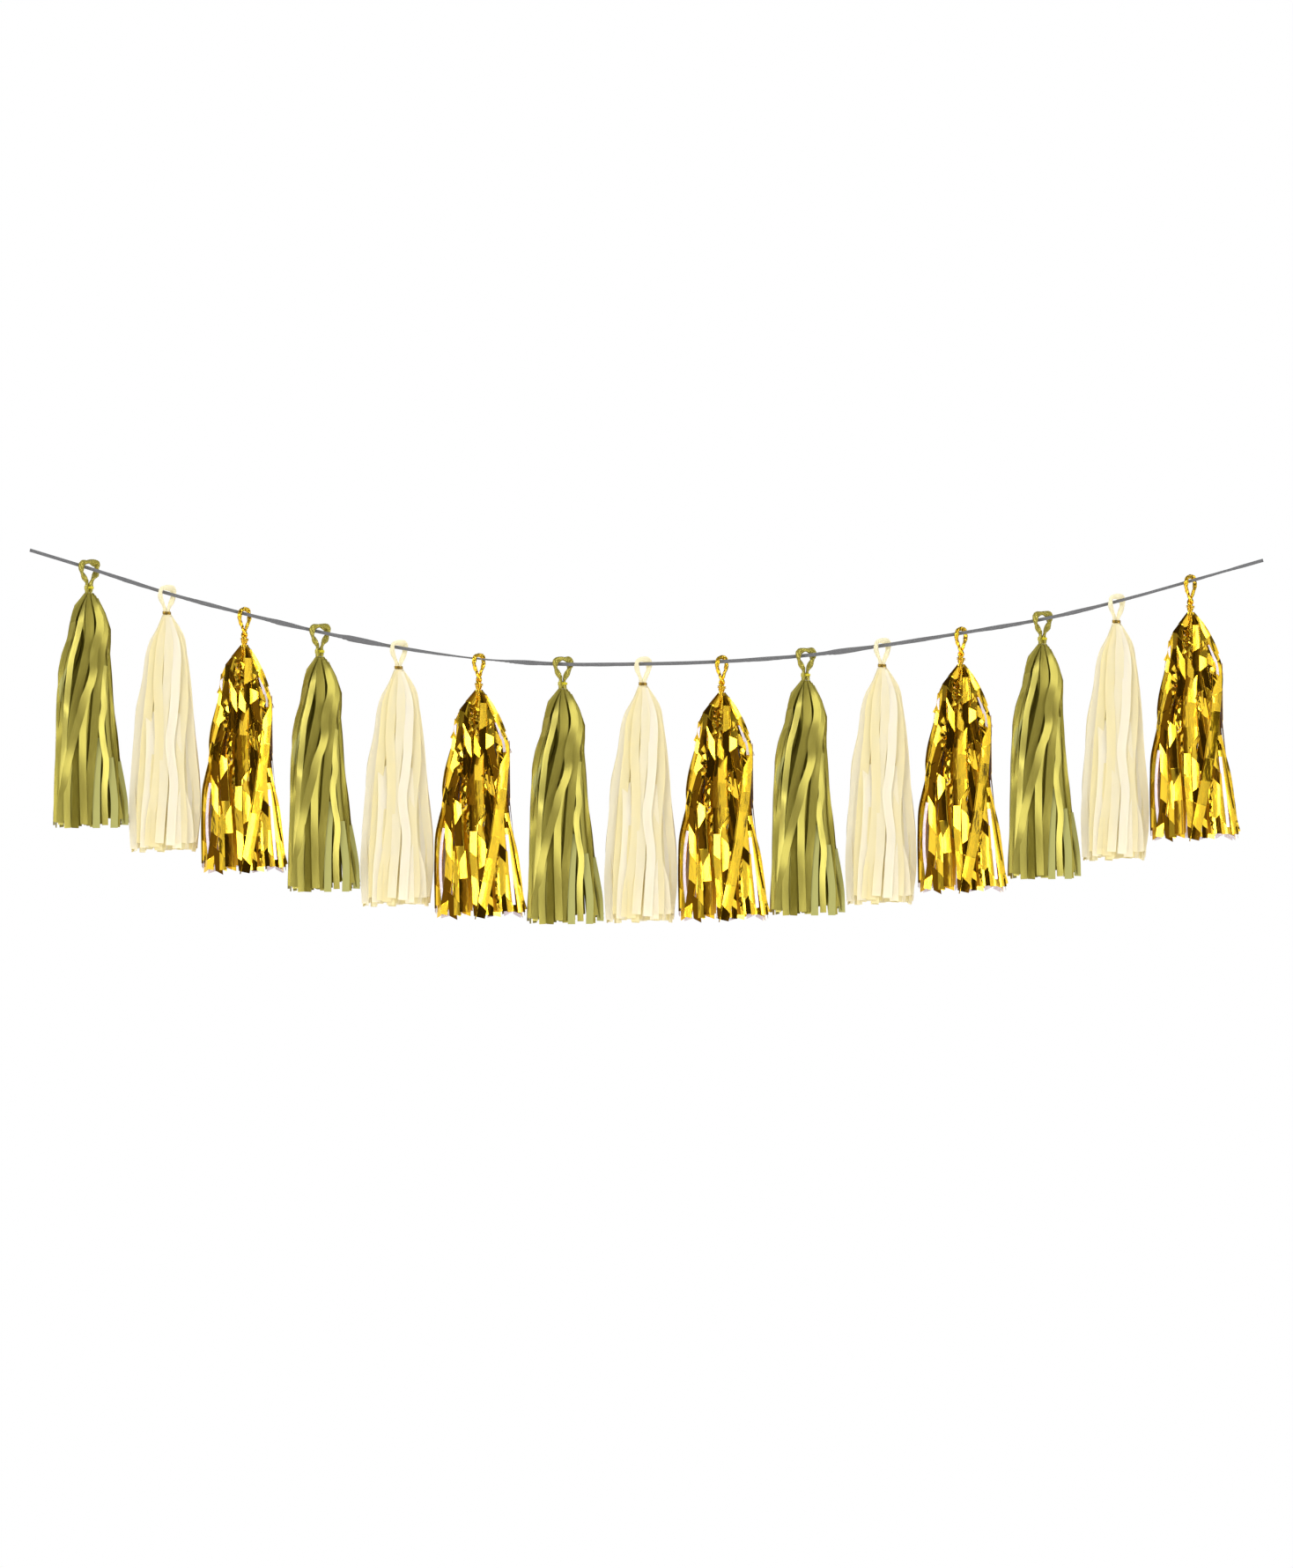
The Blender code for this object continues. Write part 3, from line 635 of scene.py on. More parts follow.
# Where the inner rings draw in most, over how many mm of fall, and by what share
POCKETS = {"satin": (66, 32, 0.66), "cream": (60, 30, 0.0), "foil": (75, 50, 0.30)}
OUTER_LAYER = 0.9
# The outer ring leaves the front to the strips that are listed one by one.
FRONT_ANGLES = (math.radians(215), math.radians(325))
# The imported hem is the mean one: the longest strips hang a little lower.
HEM_SPARE_MM, HEM_SPREAD_MM, INNER_HEM_RISE_MM = 4, 12, 8
# How slowly a strip wanders, and how far down its wandering, swing, bow and tuck reach their full size
DRIFT_LENGTH_MM, SWING_LENGTH_MM, LAYER_LENGTH_MM = 300, 210, 160
DRIFT_FULL_FALL_MM, SWING_FULL_FALL_MM, BOW_FULL_FALL_MM, TUCK_FADE_MM = 60, 40, 20, 90
ANGLE_TOSS, LEAST_DRIFT, LARGEST_DRIFT, LAYER_SWING, TUCK_SHARE = 0.07, 0.05, 0.12, 0.02, 0.1
# Inner-ring tissue strips are painted darker: their tint is cut to this share, a painted shade for the inside of
# the tassel.
LEAST_BOW_SHARE, INNER_PAINTED_SHADE_SHARE = -0.4, 0.1
# A ring well inside the outline needs fewer stations.
STATIONS, FEW_STATIONS, FEW_BELOW_LAYER = 38, 16, 0.6


def smooth_noise(rng, falls, length_mm, size):
    """A slow random curve along a strip, of the given size."""
    waves = 0
    for k, phase in enumerate(rng.uniform(0, 2 * math.pi, 3)):
        waves = waves + np.sin(falls * 2 * math.pi * (k + 0.6) / length_mm + phase) / (k + 1)
    return waves * size / 1.5


def strip_half_widths(kind, falls, width_mm):
    """Half widths in metres: gathered narrow at the neck, and full from the crown's edge down."""
    sizes = STRIPS[kind]
    ramp = np.clip(falls / sizes["full_fall"], 0, 1)
    share = sizes["neck_share"] + (1 - sizes["neck_share"]) * eased(ramp)
    return share * width_mm * MM / 2


def yawed(out, yaw):
    """Directions turned about the vertical by an angle per station."""
    cosine, sine = np.cos(yaw), np.sin(yaw)
    return stacked(out[:, 0] * cosine - out[:, 1] * sine, out[:, 0] * sine + out[:, 1] * cosine, out[:, 2])


def pocketed(kind, layer, falls, angle):
    """The inner rings draw in behind the crown's front, so that the gaps there look into shade."""
    middle, reach, depth = POCKETS[kind]
    if layer > OUTER_LAYER:
        return np.full(len(falls), layer)
    depth *= min(1.0, 1.5 * max(0.0, -math.sin(angle)) ** 2)
    return layer - depth * np.exp(-(((falls - middle) / reach) ** 2))


def left_to_hand(ring, angle):
    return ring == 0 and FRONT_ANGLES[0] < angle % (2 * math.pi) < FRONT_ANGLES[1]


def tissue_ring(sheets, fringe, rng, ring):
    """One ring of soft paper strips, every other one tucked a little under its neighbours."""
    count, layer, offset = RINGS[fringe.kind][ring]
    sizes = STRIPS[fringe.kind]
    for n in range(count):
        angle = 2 * math.pi * (n + offset) / count + rng.uniform(-ANGLE_TOSS, ANGLE_TOSS)
        hem = fringe.hem_mm + HEM_SPARE_MM - rng.uniform(0, HEM_SPREAD_MM) - (1 - layer) * INNER_HEM_RISE_MM
        wander = rng.uniform(LEAST_DRIFT, LARGEST_DRIFT)
        falls = np.linspace(0, hem, STATIONS if layer > FEW_BELOW_LAYER else FEW_STATIONS)
        drift = smooth_noise(rng, falls, DRIFT_LENGTH_MM, wander)
        drift *= np.clip(falls / DRIFT_FULL_FALL_MM, 0, 1)
        swing = smooth_noise(rng, falls, SWING_LENGTH_MM, sizes["yaw_swing"])
        swing *= np.clip(falls / SWING_FULL_FALL_MM, 0, 1)
        under = (1 - n % 2) * TUCK_SHARE
        layers = pocketed(fringe.kind, layer, falls, angle) - under * np.exp(-falls / TUCK_FADE_MM)
        layers = layers + smooth_noise(rng, falls, LAYER_LENGTH_MM, LAYER_SWING)
        # Painted shade: the inner rings' strips have their tint cut to a small share, so they come out darker.
        tint = rng.uniform() * (1 if layer > OUTER_LAYER else INNER_PAINTED_SHADE_SHARE)
        seed, bow = rng.uniform(0, 100), rng.uniform(LEAST_BOW_SHARE, 1.0) * sizes["bow"] * MM
        if left_to_hand(ring, angle):
            continue
        centres, out = fringe.on_ring(falls, angle + drift, layers)
        lean = sizes["lean"] * (1 if n % 2 else -1)
        half_widths = strip_half_widths(fringe.kind, falls, sizes["width"])
        bow = bow * np.clip(falls / BOW_FULL_FALL_MM, 0.2, 1)
        sheets.add(centres, yawed(out, lean + swing), half_widths, bow, tint=tint, seed=seed, back=0)


print("strips round each fringe:", {kind: sum(r[0] for r in rings) for kind, rings in RINGS.items()})

# %% [markdown]
# ## Foil strips
# Film doesn't hang in soft curves. It breaks into facets at hard folds that run slantwise across it, and
# each facet mirrors another part of the room, so a strip is a row of light and dark diamonds. A strip is
# given as its folds. Every fold becomes two stations half a millimetre apart, one for the facet above
# and one for the facet below, so that each facet keeps one facing from end to end. Sliding its two sides
# apart along the strip slants the fold.

# %% Foil rings
LONGEST_FACET_MM, SHORTEST_FACET_MM = 85, 34
LEAST_SLANT_MM, LARGEST_SLANT_MM = 4, 9
STRIPS_IN_A_FOLD, FOLDS_DRAWN = 3, 31
FOLD_MM = 0.5
FIRST_FOLD_FALL_MM, LAST_FOLD_RISE_MM = 5, 12
FILM_TUCK_MM, FILM_STEP_MM = 2.2, 0.8
FILM_HEM_SPREAD_MM = 10
FILM_ANGLE_TOSS, FILM_YAW_TOSS, FILM_DRIFT, DRIFTS_DRAWN = 0.05, 0.03, 0.03, 40
LEAST_FILM_BOW_SHARE, REVERSE_SHARE = -0.6, 0.06
FOLD_FULL_FALL_MM, HEM_SLANT_SHARE = 30, 0.3


def faceted(folds, skews, bows):
    """Stations for facets between folds. folds has rows of place, fall, facing and lift."""
    above, below = folds[:-1].copy(), folds[1:].copy()
    below[:, 2] = above[:, 2]
    above[1:, 1] += FOLD_MM / 2
    below[:-1, 1] -= FOLD_MM / 2
    rows = np.stack([above, below], axis=1).reshape(-1, 4)
    skews = np.stack([skews[:-1], skews[1:]], axis=1).ravel()
    return rows, skews, np.repeat(bows[:-1], 2)


def foil_ring(sheets, fringe, rng, ring):
    """One ring of folded film strips. Neighbours share their folds, and each has its hem."""
    count, layer, offset = RINGS["foil"][ring]
    sizes = STRIPS["foil"]
    for n in range(count):
        place_in_fold = n % STRIPS_IN_A_FOLD
        if place_in_fold == 0:
            steps = rng.uniform(SHORTEST_FACET_MM, LONGEST_FACET_MM, FOLDS_DRAWN - 1)
            shared = np.concatenate([[0], np.cumsum(steps)])
            shared_yaw = rng.uniform(-1, 1, FOLDS_DRAWN) * sizes["yaw_swing"]
            shared_step_out = rng.uniform(-FILM_STEP_MM, FILM_STEP_MM, FOLDS_DRAWN)
            slant = rng.uniform(LEAST_SLANT_MM, LARGEST_SLANT_MM, FOLDS_DRAWN)
            slant = slant * rng.choice((1, 1, -1), FOLDS_DRAWN)
            shared_bow = rng.uniform(LEAST_FILM_BOW_SHARE, 1.0, FOLDS_DRAWN) * sizes["bow"]
        angle = 2 * math.pi * (n + offset) / count + rng.uniform(-FILM_ANGLE_TOSS, FILM_ANGLE_TOSS)
        hem = fringe.hem_mm - rng.uniform(0, FILM_HEM_SPREAD_MM) - (1 - layer) * FILM_HEM_SPREAD_MM
        falls = shared + 2 * slant * place_in_fold * (shared > 0)
        kept = (falls < hem - LAST_FOLD_RISE_MM) & (falls > FIRST_FOLD_FALL_MM)
        falls = np.concatenate([[0], np.sort(falls[kept]), [hem]])
        folds = len(falls)
        yaw = shared_yaw[:folds] + rng.uniform(-FILM_YAW_TOSS, FILM_YAW_TOSS)
        yaw[-2] += rng.uniform(-1, 1) * sizes["yaw_swing"]
        yaw *= np.clip(falls / FOLD_FULL_FALL_MM, 0.3, 1) * (0.4 + 0.6 * abs(math.sin(angle)))
        step_out = shared_step_out[:folds] * np.clip(falls / SWING_FULL_FALL_MM, 0, 1)
        drift = rng.uniform(-FILM_DRIFT, FILM_DRIFT, DRIFTS_DRAWN)[:folds]
        drift *= np.clip(falls / DRIFT_FULL_FALL_MM, 0, 1)
        skew = np.concatenate([[0], slant[kept], [slant[0] * HEM_SLANT_SHARE]]) * MM
        skew *= np.clip(falls / FOLD_FULL_FALL_MM, 0, 1)
        seed, reverse = rng.uniform(0, 100), rng.uniform() < REVERSE_SHARE
        if left_to_hand(ring, angle):
            continue
        rows = np.stack([angle + drift, falls, yaw, step_out], axis=1)
        rows, skew, bow = faceted(rows, skew, shared_bow[:folds] * MM)
        angles, falls, yaw, step_out = rows.T
        centres, out = fringe.on_ring(falls, angles, pocketed("foil", layer, falls, angle))
        centres = centres + out * ((step_out - FILM_TUCK_MM * (n % 2)) * MM)[:, None]
        half_widths = strip_half_widths("foil", falls, sizes["width"])
        sheets.add(
            centres, yawed(out, yaw), half_widths, bow, skew, columns=5, seed=seed,
            front=int(reverse), back=int(not reverse),
        )


print("foil facets, mm long:", SHORTEST_FACET_MM, "to", LONGEST_FACET_MM)

# %% [markdown]
# ## Strips one by one
# The strips that lie in front give each kind its face: a bright one that crosses to the side, a dark gap,
# a long one that wanders from the right shoulder to the left of the hem. Those are listed one by one. Each
# has its width and its tint (0 is the paper's darker shade, 1 its lighter one; below 0 the reverse shows).
# Each station has its place across, its fall, the way that it faces (0 is straight to the front,
# positive is to the right) and how far it stands proud of the outline. A fifth number makes the station
# a hard fold in foil, and says how far the fold's right end lies below its middle. A facet that faces
# 3 or -5 degrees mirrors a dark gap of the room, 10 or -14 a light panel, and 16 or -22.5 the brightest.

# On the tissues the tint is partly the paper's own tone and partly painted light and shade: strips that catch the
# light are given high tints, and strips in shade low ones.
# %% Front strips: (width mm, tint, ((across mm, fall mm, facing degrees, lift mm), ...))
FRONT_STRIPS = {
    "satin": (
        (9, 0.3, ((-3, 1, -40, 0), (-14, 20, -46, 0), (-19, 34, -42, 0), (-23, 56, -40, 0), (-29, 84, -32, 0),
            (-33, 112, -24, 0), (-35, 150, -30, 0), (-35, 185, -14, 1), (-37, 224, -18, 1),
            (-38, 279, -22, 1))),
        (8.5, -1, ((-25, 66, -50, -3), (-29, 92, -40, -1), (-34, 115, -36, 1), (-36, 140, -40, 0),
            (-37, 170, -50, -2), (-37, 260, -40, -3))),
        (7.5, 1.0, ((-3, 4, -44, -2), (-6, 18, -40, -2), (-9, 34, -18, 3), (-14, 57, -21, 4),
            (-20, 80, -20, 4), (-23, 105, -15, 3.5), (-25, 124, -8, 3), (-27, 150, -30, 0),
            (-30, 204, -25, -2), (-33, 280, -25, -2))),
        (10.5, 0.35, ((0, 2, 2, 2.5), (1, 22, 6, 2.5), (2, 45, 8, 2), (1, 60, 4, 1.5), (-3, 80, -6, 0.5),
            (-7, 98, -4, 0), (-12, 120, 2, 0), (-17, 146, -6, 0.5), (-20, 178, -10, 0.5), (-21, 214, -14, 0),
            (-23, 285, -6, 0))),
        (9.5, 0.65, ((5, 4, 14, 3), (11, 20, 16, 4.5), (15, 36, 16, 5.5), (14, 48, 8, 6), (10, 62, -3, 6.5),
            (7, 78, -6, 6.5), (7, 97, 9, 6.5), (3, 112, 15, 7), (-4, 129, 10, 7), (-8, 146, 3, 7),
            (-13, 163, -4, 6.5), (-19, 185, 8, 6), (-24, 206, 16, 5.5), (-28, 230, 8, 5), (-31, 252, -3, 4.5),
            (-34, 281, -9, 4))),
        (9.5, 0.45, ((7, 3, 16, 0), (16, 26, 26, 1), (20, 44, 20, 2), (18, 64, 8, 3), (15, 86, 3, 3.5),
            (13, 105, 6, 3.5), (11, 130, 2, 3.5), (9, 155, -3, 3.5), (7, 185, 2, 3), (4, 214, 5, 2.5),
            (2, 244, -2, 2), (0, 282, -4, 2))),
        (8.5, 0.15, ((10, 6, 40, -1.5), (19, 28, 44, -1.5), (23, 46, 42, -1), (23, 66, 34, -1),
            (23, 90, 22, -0.5), (25, 118, 22, -0.5), (28, 150, 12, 0), (31, 180, 7, 0.5), (33, 206, 4, 1),
            (34, 234, 6, 1), (36, 283, 8, 1))),
        (7.5, 1.0, ((20, 88, 22, -1), (18, 112, 16, 1.5), (20, 140, 19, 2.5), (17, 156, 15, 3),
            (19, 180, 19, 4), (23, 206, 16, 4), (21, 236, 12, 3), (22, 284, 5, 2))),
        (9, 0.6, ((2, 110, 6, 0), (-4, 140, 14, 1), (-6, 165, 16, 3), (-6, 185, 15, 3.5), (-6, 214, 8, 4),
            (-5, 244, 5, 4), (-4, 282, 9, 3.5))),
        (9, 0.05, ((-14, 150, -4, -1), (-15, 185, -2, 0.5), (-14, 216, 4, 1.5), (-14, 250, 0, 2),
            (-15, 287, 6, 2))),
        (8.5, 0.8, ((-21, 196, -12, 1), (-24, 226, -16, 2), (-25, 252, -10, 2.5), (-24, 286, -15, 2.5))),
        (9, -1, ((14, 176, 6, 0.5), (12, 206, 4, 1), (11, 236, 2, 1), (11, 285, 6, 1))),
        (9, -1, ((27, 200, 10, 0.5), (30, 224, 14, 2), (33, 250, 14, 2), (33, 285, 10, 2))),
        (9, -1, ((36, 205, 20, 0), (41, 230, 20, 1), (45, 255, 24, 1), (46, 280, 24, 1))),
    ),
    "cream": (
        (10.8, 0.8, ((-2, 4, -30, 0), (-12, 26, -30, 0), (-19, 40, -34, 1), (-23, 62, -28, 1),
            (-26, 84, -30, 1), (-32, 112, -24, 1), (-36, 150, -26, 1), (-39, 190, -20, 1), (-42, 235, -24, 1),
            (-40, 283, -20, 1))),
        (10.8, 0.05, ((-3, 3, -18, 1), (-9, 24, -16, 1.5), (-15, 44, -14, 2), (-17, 66, -12, 2),
            (-19, 88, -10, 2), (-22, 115, -12, 1.5), (-25, 145, -14, 1), (-28, 185, -12, 1),
            (-31, 230, -10, 1), (-31, 280, -12, 1))),
        (10.8, 0.2, ((-1, 2, -4, 1), (-5, 24, -6, 1.5), (-8, 50, -6, 2), (-10, 80, -4, 2.5),
            (-9, 112, -2, 2.5), (-8, 142, 0, 2), (-9, 175, -2, 1.5), (-13, 215, -6, 1.5), (-19, 250, -8, 1.5),
            (-21, 282, -6, 1.5))),
        (10.8, 0.6, ((1, 2, 4, 1.5), (3, 24, 6, 2), (3, 50, 4, 2), (2, 80, 2, 1.5), (-1, 110, 0, 1),
            (-4, 140, -2, 1), (-2, 172, 0, 1), (-3, 215, 2, 1), (-6, 250, 0, 1.5), (-8, 280, 0, 1.5))),
        (10.8, 1.0, ((4, 3, 14, 1), (10, 26, 14, 2), (13, 50, 10, 2.5), (12, 78, 8, 3), (11, 105, 5, 3),
            (8, 132, 2, 2.5), (5, 156, 0, 2.5), (7, 176, 5, 2.5), (10, 200, 8, 2), (8, 240, 5, 1.5),
            (6, 281, 4, 1.5))),
        (10.8, 0.3, ((5, 3, 24, 0), (14, 26, 24, 1), (18, 48, 20, 1), (21, 76, 16, 1.5), (22, 108, 14, 1.5),
            (19, 145, 12, 1.5), (17, 180, 10, 1.5), (19, 215, 12, 1.5), (21, 250, 13, 1.5),
            (20, 280, 11, 1.5))),
        (10.8, 0.5, ((7, 5, 36, 0), (17, 24, 38, 0), (21, 49, 36, 0), (25, 78, 34, 0), (28, 110, 32, 0),
            (30, 147, 28, 0.5), (32, 172, 26, 1), (35, 198, 26, 0.5), (36.5, 228, 24, 0), (35.5, 255, 24, 0),
            (32, 276, 20, 0))),
        (10.8, 0.9, ((-20, 118, -8, 0), (-19, 150, -6, 1), (-21, 200, -8, 1), (-25, 240, -8, 1.2),
            (-27, 282, -8, 1.2))),
        (10.8, 0.75, ((12, 120, 8, 0), (14, 160, 8, 0.8), (17, 205, 10, 0.8), (27, 245, 14, 0.8),
            (29, 279, 14, 0.8))),
        (10.8, 0.1, ((-12, 170, -4, 0), (-14, 205, -4, 0.5), (-13, 245, -2, 0.8), (-14, 283, -3, 0.8))),
        (10.8, 0.85, ((12, 190, 6, 0), (13, 225, 6, 0.6), (14, 282, 6, 0.6))),
    ),
    "foil": (
        (7.5, 0.5, ((4, 2, 21, 4), (11, 12, 21, 5), (18, 25, 21, 5), (25, 39, 22, 5), (30, 53, 23, 4.5))),
        (5, 0.5, ((28, 48, 25, 4.2), (33, 61, 24, 4), (35, 74, 25, 4), (35, 90, 24, 4), (33, 102, 16, 3))),
        (12.5, 1, ((30, 84, 16, 3, -8), (30, 100, 16, 3.5, -2), (28.5, 120, 16, 4, 0),
            (25.5, 145, 16, 4.5, 0), (21, 178, 16, 5, 0), (16, 205, 16, 5.3, 0), (11, 234, 16, 5.3, 0),
            (5, 263, 3, 5, 3), (2, 277, 3, 5, 0))),
        (11, 1, ((-3, 2, -6, 1, 0), (-11, 14, -5, 1.5, -2), (-18, 27, 3, 2, 2), (-18.5, 45, 0, 2, 0),
            (-22, 62, -1, 2, 3), (-25, 79, -22.5, 2.5, 4), (-31, 102, -14, 2.5, 4), (-36, 124, -26, 2, 4),
            (-40, 142, -1, 0, 2))),
        (7.5, 1, ((-20, 26, -22.5, 0, 0), (-26, 40, -14, 0.5, 3), (-28, 60, -22.5, 0.5, 2),
            (-31, 76, -11, 0, 3), (-36, 98, -34, 0, 3), (-39, 124, -11, 0, 3), (-42, 146, -34, 0, 3),
            (-46, 170, -11, 0, 3), (-48, 205, -34, 0.5, 2), (-48, 240, -11, 0, 2), (-48, 262, -11, 0, 0))),
        (2.8, 0.5, ((-33, 72, -3, 1), (-41, 103, -4, 1.8), (-43, 120, -3, 1.8), (-42.5, 136, -4, 1.8),
            (-47, 156, -3, 1.8), (-51, 174, -4, 2), (-52.5, 205, -3, 2), (-52, 268, -4, 2))),
        (3, 0.5, ((-31, 74, -46, 1), (-38.5, 105, -46, 1.5), (-40, 120, -46, 1.5), (-39.5, 138, -46, 1.5),
            (-44, 158, -46, 1.5), (-48, 176, -46, 1.8), (-49.5, 205, -46, 1.8), (-49, 266, -46, 1.8))),
        (3.5, -1, ((-24, 28, -30, 2), (-28, 42, -30, 2), (-29, 58, -30, 1.5))),
        (9.5, 1, ((-2, 3, 2, 2, 0), (-9, 18, -9, 2.5, 2), (-13, 34, 0, 3, 3), (-14, 50, -22.5, 3, 6),
            (-13, 75, 3, 3.5, 5), (-15, 106, -1, 2.5, 2), (-18, 128, -26, 2.5, 3), (-20, 150, -5, 0, -5))),
        (11, 1, ((-25, 136, -22.5, 2, 3), (-24, 157, 0, 3.5, -5), (-22, 190, -8, 3.5, 0),
            (-20, 203, -22.5, 3.5, -5), (-18, 229, 6.5, 3.5, 0), (-17, 271, 0, 3, 0))),
        (10, 1, ((-23, 90, 0, 2, -5), (-31, 118, -3, 2.5, -4), (-35, 142, -1, 2.5, 3),
            (-36, 168, -22.5, 2.5, 6), (-35, 202, -14, 2.5, 5), (-36, 230, 0, 2.5, 2),
            (-40, 258, -26, 2.5, -3), (-42, 271, -26, 2.5, 0))),
        (9, 1, ((-27, 206, -26, 3, -3), (-26, 238, -14, 3.2, 3), (-25, 256, -10, 3.2, 3),
            (-25, 272, -10, 3, 0))),
        (9, 1, ((-33, 248, -1, 3.5, 3), (-30, 277, 0, 3.5, 2))),
        (8.5, 1, ((-1, 63, 16, 4, 5), (-2, 80, 6.5, 4.5, 2), (-6, 102, 7, 4.5, 0), (-7, 140, 6, 4.5, 0),
            (-6, 172, 13.7, 5, 0), (-6, 200, 10.5, 5, 2), (-4, 228, 16, 5, 2), (-2, 262, -1, 4.5, 2),
            (-1, 276, 0, 4.5, 0))),
        (11.5, 1, ((1, 84, 10, 3.5, -5), (1, 110, 9, 3.8, 0), (2, 140, 10, 4, 0), (3, 157, 16, 4, -6),
            (0, 176, 10, 2, 0))),
        (10, 1, ((2, 4, 2, 2.5, 0), (6, 16, 10, 3, 0), (6, 46, 2.5, 2.5, -2), (6, 72, 2, 2, 0),
            (9, 96, 5, 2, 0), (10, 112, 24, 2, 3), (8, 122, 3, 2, 0), (12, 150, 2, 2, 0),
            (17, 182, 3, 1, 0))),
        (10, 1, ((7, 6, 2.5, 1, 0), (14, 26, 2.5, 1.5, 3), (14, 55, 13.7, 4, 1.5), (14, 69, 0, 3.5, -2),
            (18, 92, 6, 3, 4), (21, 110, 16, 2, -4), (23, 136, 10, 0, 0))),
        (8, 1, ((18, 32, 27, 1, 3), (22, 52, 10.5, 1.5, 3), (24, 66, 3, 2, 2), (26, 80, 29, 1.5, 3),
            (24, 100, 10.5, 1, 3), (22, 126, 10, 0, 0))),
        (4, -1, ((21, 40, 44, 2), (26, 54, 44, 3), (30, 66, 46, 3), (31, 76, 50, 2))),
        (10, 1, ((9, 82, 3, 1.5, -3), (13, 104, 24, 2, 2), (17, 128, 6.5, 2, 3), (20, 150, 24, 1.5, 0),
            (21, 168, 10, 0, 0))),
        (7, 1, ((6, 148, 3, 3, 0), (10, 176, 2, 3, 3), (13, 196, 16, 2.5, 2), (11, 226, 10, 2, 0))),
        (9, 1, ((4, 166, 24, 3, 3), (4, 180, 13.7, 4, 3), (5, 215, 0, 4, -2), (5, 233, 6, 3.5, 2),
            (6, 258, 16, 3.5, 0), (8, 273, 16, 3, 0))),
        (7, 1, ((12, 226, 3, 2, 0), (14, 250, 24, 2.5, 3), (15, 261, 3, 2.5, 2), (15, 275, 3, 2, 0))),
        (6.5, 1, ((20, 196, 28.5, 1.5, 0), (22, 212, 13.7, 2, 3), (24, 250, 10.5, 2, 0),
            (26, 272, 10.5, 2, 0))),
        (8.5, 1, ((26, 150, 24, 1, 0), (29, 190, 3, 1.5, 3), (29, 206, 10.5, 2, 3), (29, 250, 3, 2, -3),
            (31, 271, 3, 2, 0))),
        (7, 1, ((32, 196, 24, 1, 0), (34, 225, 16, 2, 0), (37, 255, 10.5, 2, 3), (39, 272, 10, 2, 0))),
        (4, -1, ((34, 176, 20, 1.5), (36.5, 200, 20, 2.5), (39, 222, 20, 2.5), (43, 264, 20, 2.5))),
        (5.5, 0.5, ((34, 168, 16, 1), (39, 196, 16, 2), (43, 220, 16, 2), (48, 248, 16, 2),
            (51, 272, 16, 2))),
        (3, 0.5, ((34, 160, 3, 1.5), (41, 190, 3, 2.4), (46.5, 220, 3, 2.4), (52, 250, 3, 2.4),
            (55, 272, 3, 2.4))),
        (7, 0.5, ((33, 150, 16, 0), (37.5, 172, 16, 1), (44, 198, 16, 1.5), (48.5, 230, 16, 1.5),
            (52.5, 258, 16, 1.5), (55.5, 270, 16, 1.5))),
        (4, -1, ((-42, 168, -34, 0.5), (-45, 190, -34, 2), (-46, 225, -34, 2), (-43, 256, -34, 0))),
    ),
}
print("strips set by hand:", {kind: len(strips) for kind, strips in FRONT_STRIPS.items()})

# %% Creases, turned edges and the front
# Where the film is crumpled: place across, falls where it starts and ends, width, mm.
CRUMPLES_MM = (
    (-8, 18, 56, 6), (-1, 22, 62, 4.5), (16, 24, 52, 6), (-17, 106, 150, 5), (-22, 68, 108, 7),
    (25, 64, 84, 6), (7, 94, 132, 4), (-12, 150, 190, 3.5), (23, 200, 268, 3),
)
CRUMPLE_STEP_MM, CRUMPLE_LIFT_MM = 4, 3.2
CRUMPLE_TOSS = np.array([[1.5], [1.2], [3]])
CRUMPLE_YAWS = (3, -5, 2, 29, 58, -22.5, 36, 4, 24)
# The widest strips have an edge turned over, which catches other light than the strip does.
NARROWEST_WITH_EDGE_MM, EDGE_MM, EDGE_LIFT_MM = 9.5, 1.4, 0.7
EDGE_YAWS = (3, -46, 58, -5, 24)
SOFT_BOW_MM, LARGEST_BOW_MM, FOLD_SLANT = 0.08, 0.14, 1.5
SOFT_STATIONS, HEM_TOSS_MM = 44, (-3, 2)


def through(points, count):
    """Rows on a smooth curve through the points, at even steps of fall."""
    points = np.array(points, float)
    lengths = run_lengths(points[:, 1:2])
    slopes = np.gradient(points, lengths, axis=0)
    return smooth_curve(np.linspace(0, lengths[-1], count), lengths, points.T, slopes.T).T


def film_creases(rng):
    """Strips for the turned edges of the widest film strips, and for the crumpled places."""
    strips = []
    for width_mm, _, stations in FRONT_STRIPS["foil"]:
        if width_mm >= NARROWEST_WITH_EDGE_MM:
            rows = np.array(stations, float)
            half_widths_mm = strip_half_widths("foil", rows[:, 1], width_mm - EDGE_MM) / MM
            rows[:, 0] += rng.choice((-1, 1)) * half_widths_mm
            rows[:, 2] = rng.choice(EDGE_YAWS, len(rows))
            rows[:, 3] += EDGE_LIFT_MM
            strips.append((EDGE_MM, 1, rows))
    for x, start, end, width_mm in CRUMPLES_MM:
        falls = np.arange(start, end, CRUMPLE_STEP_MM)
        across, lift, slant = rng.uniform(-1, 1, (3, len(falls))) * CRUMPLE_TOSS
        yaw = rng.choice(CRUMPLE_YAWS, len(falls))
        rows = np.stack([x + across, falls, yaw, CRUMPLE_LIFT_MM + lift, slant], axis=1)
        strips.append((width_mm, 1, rows))
    return strips


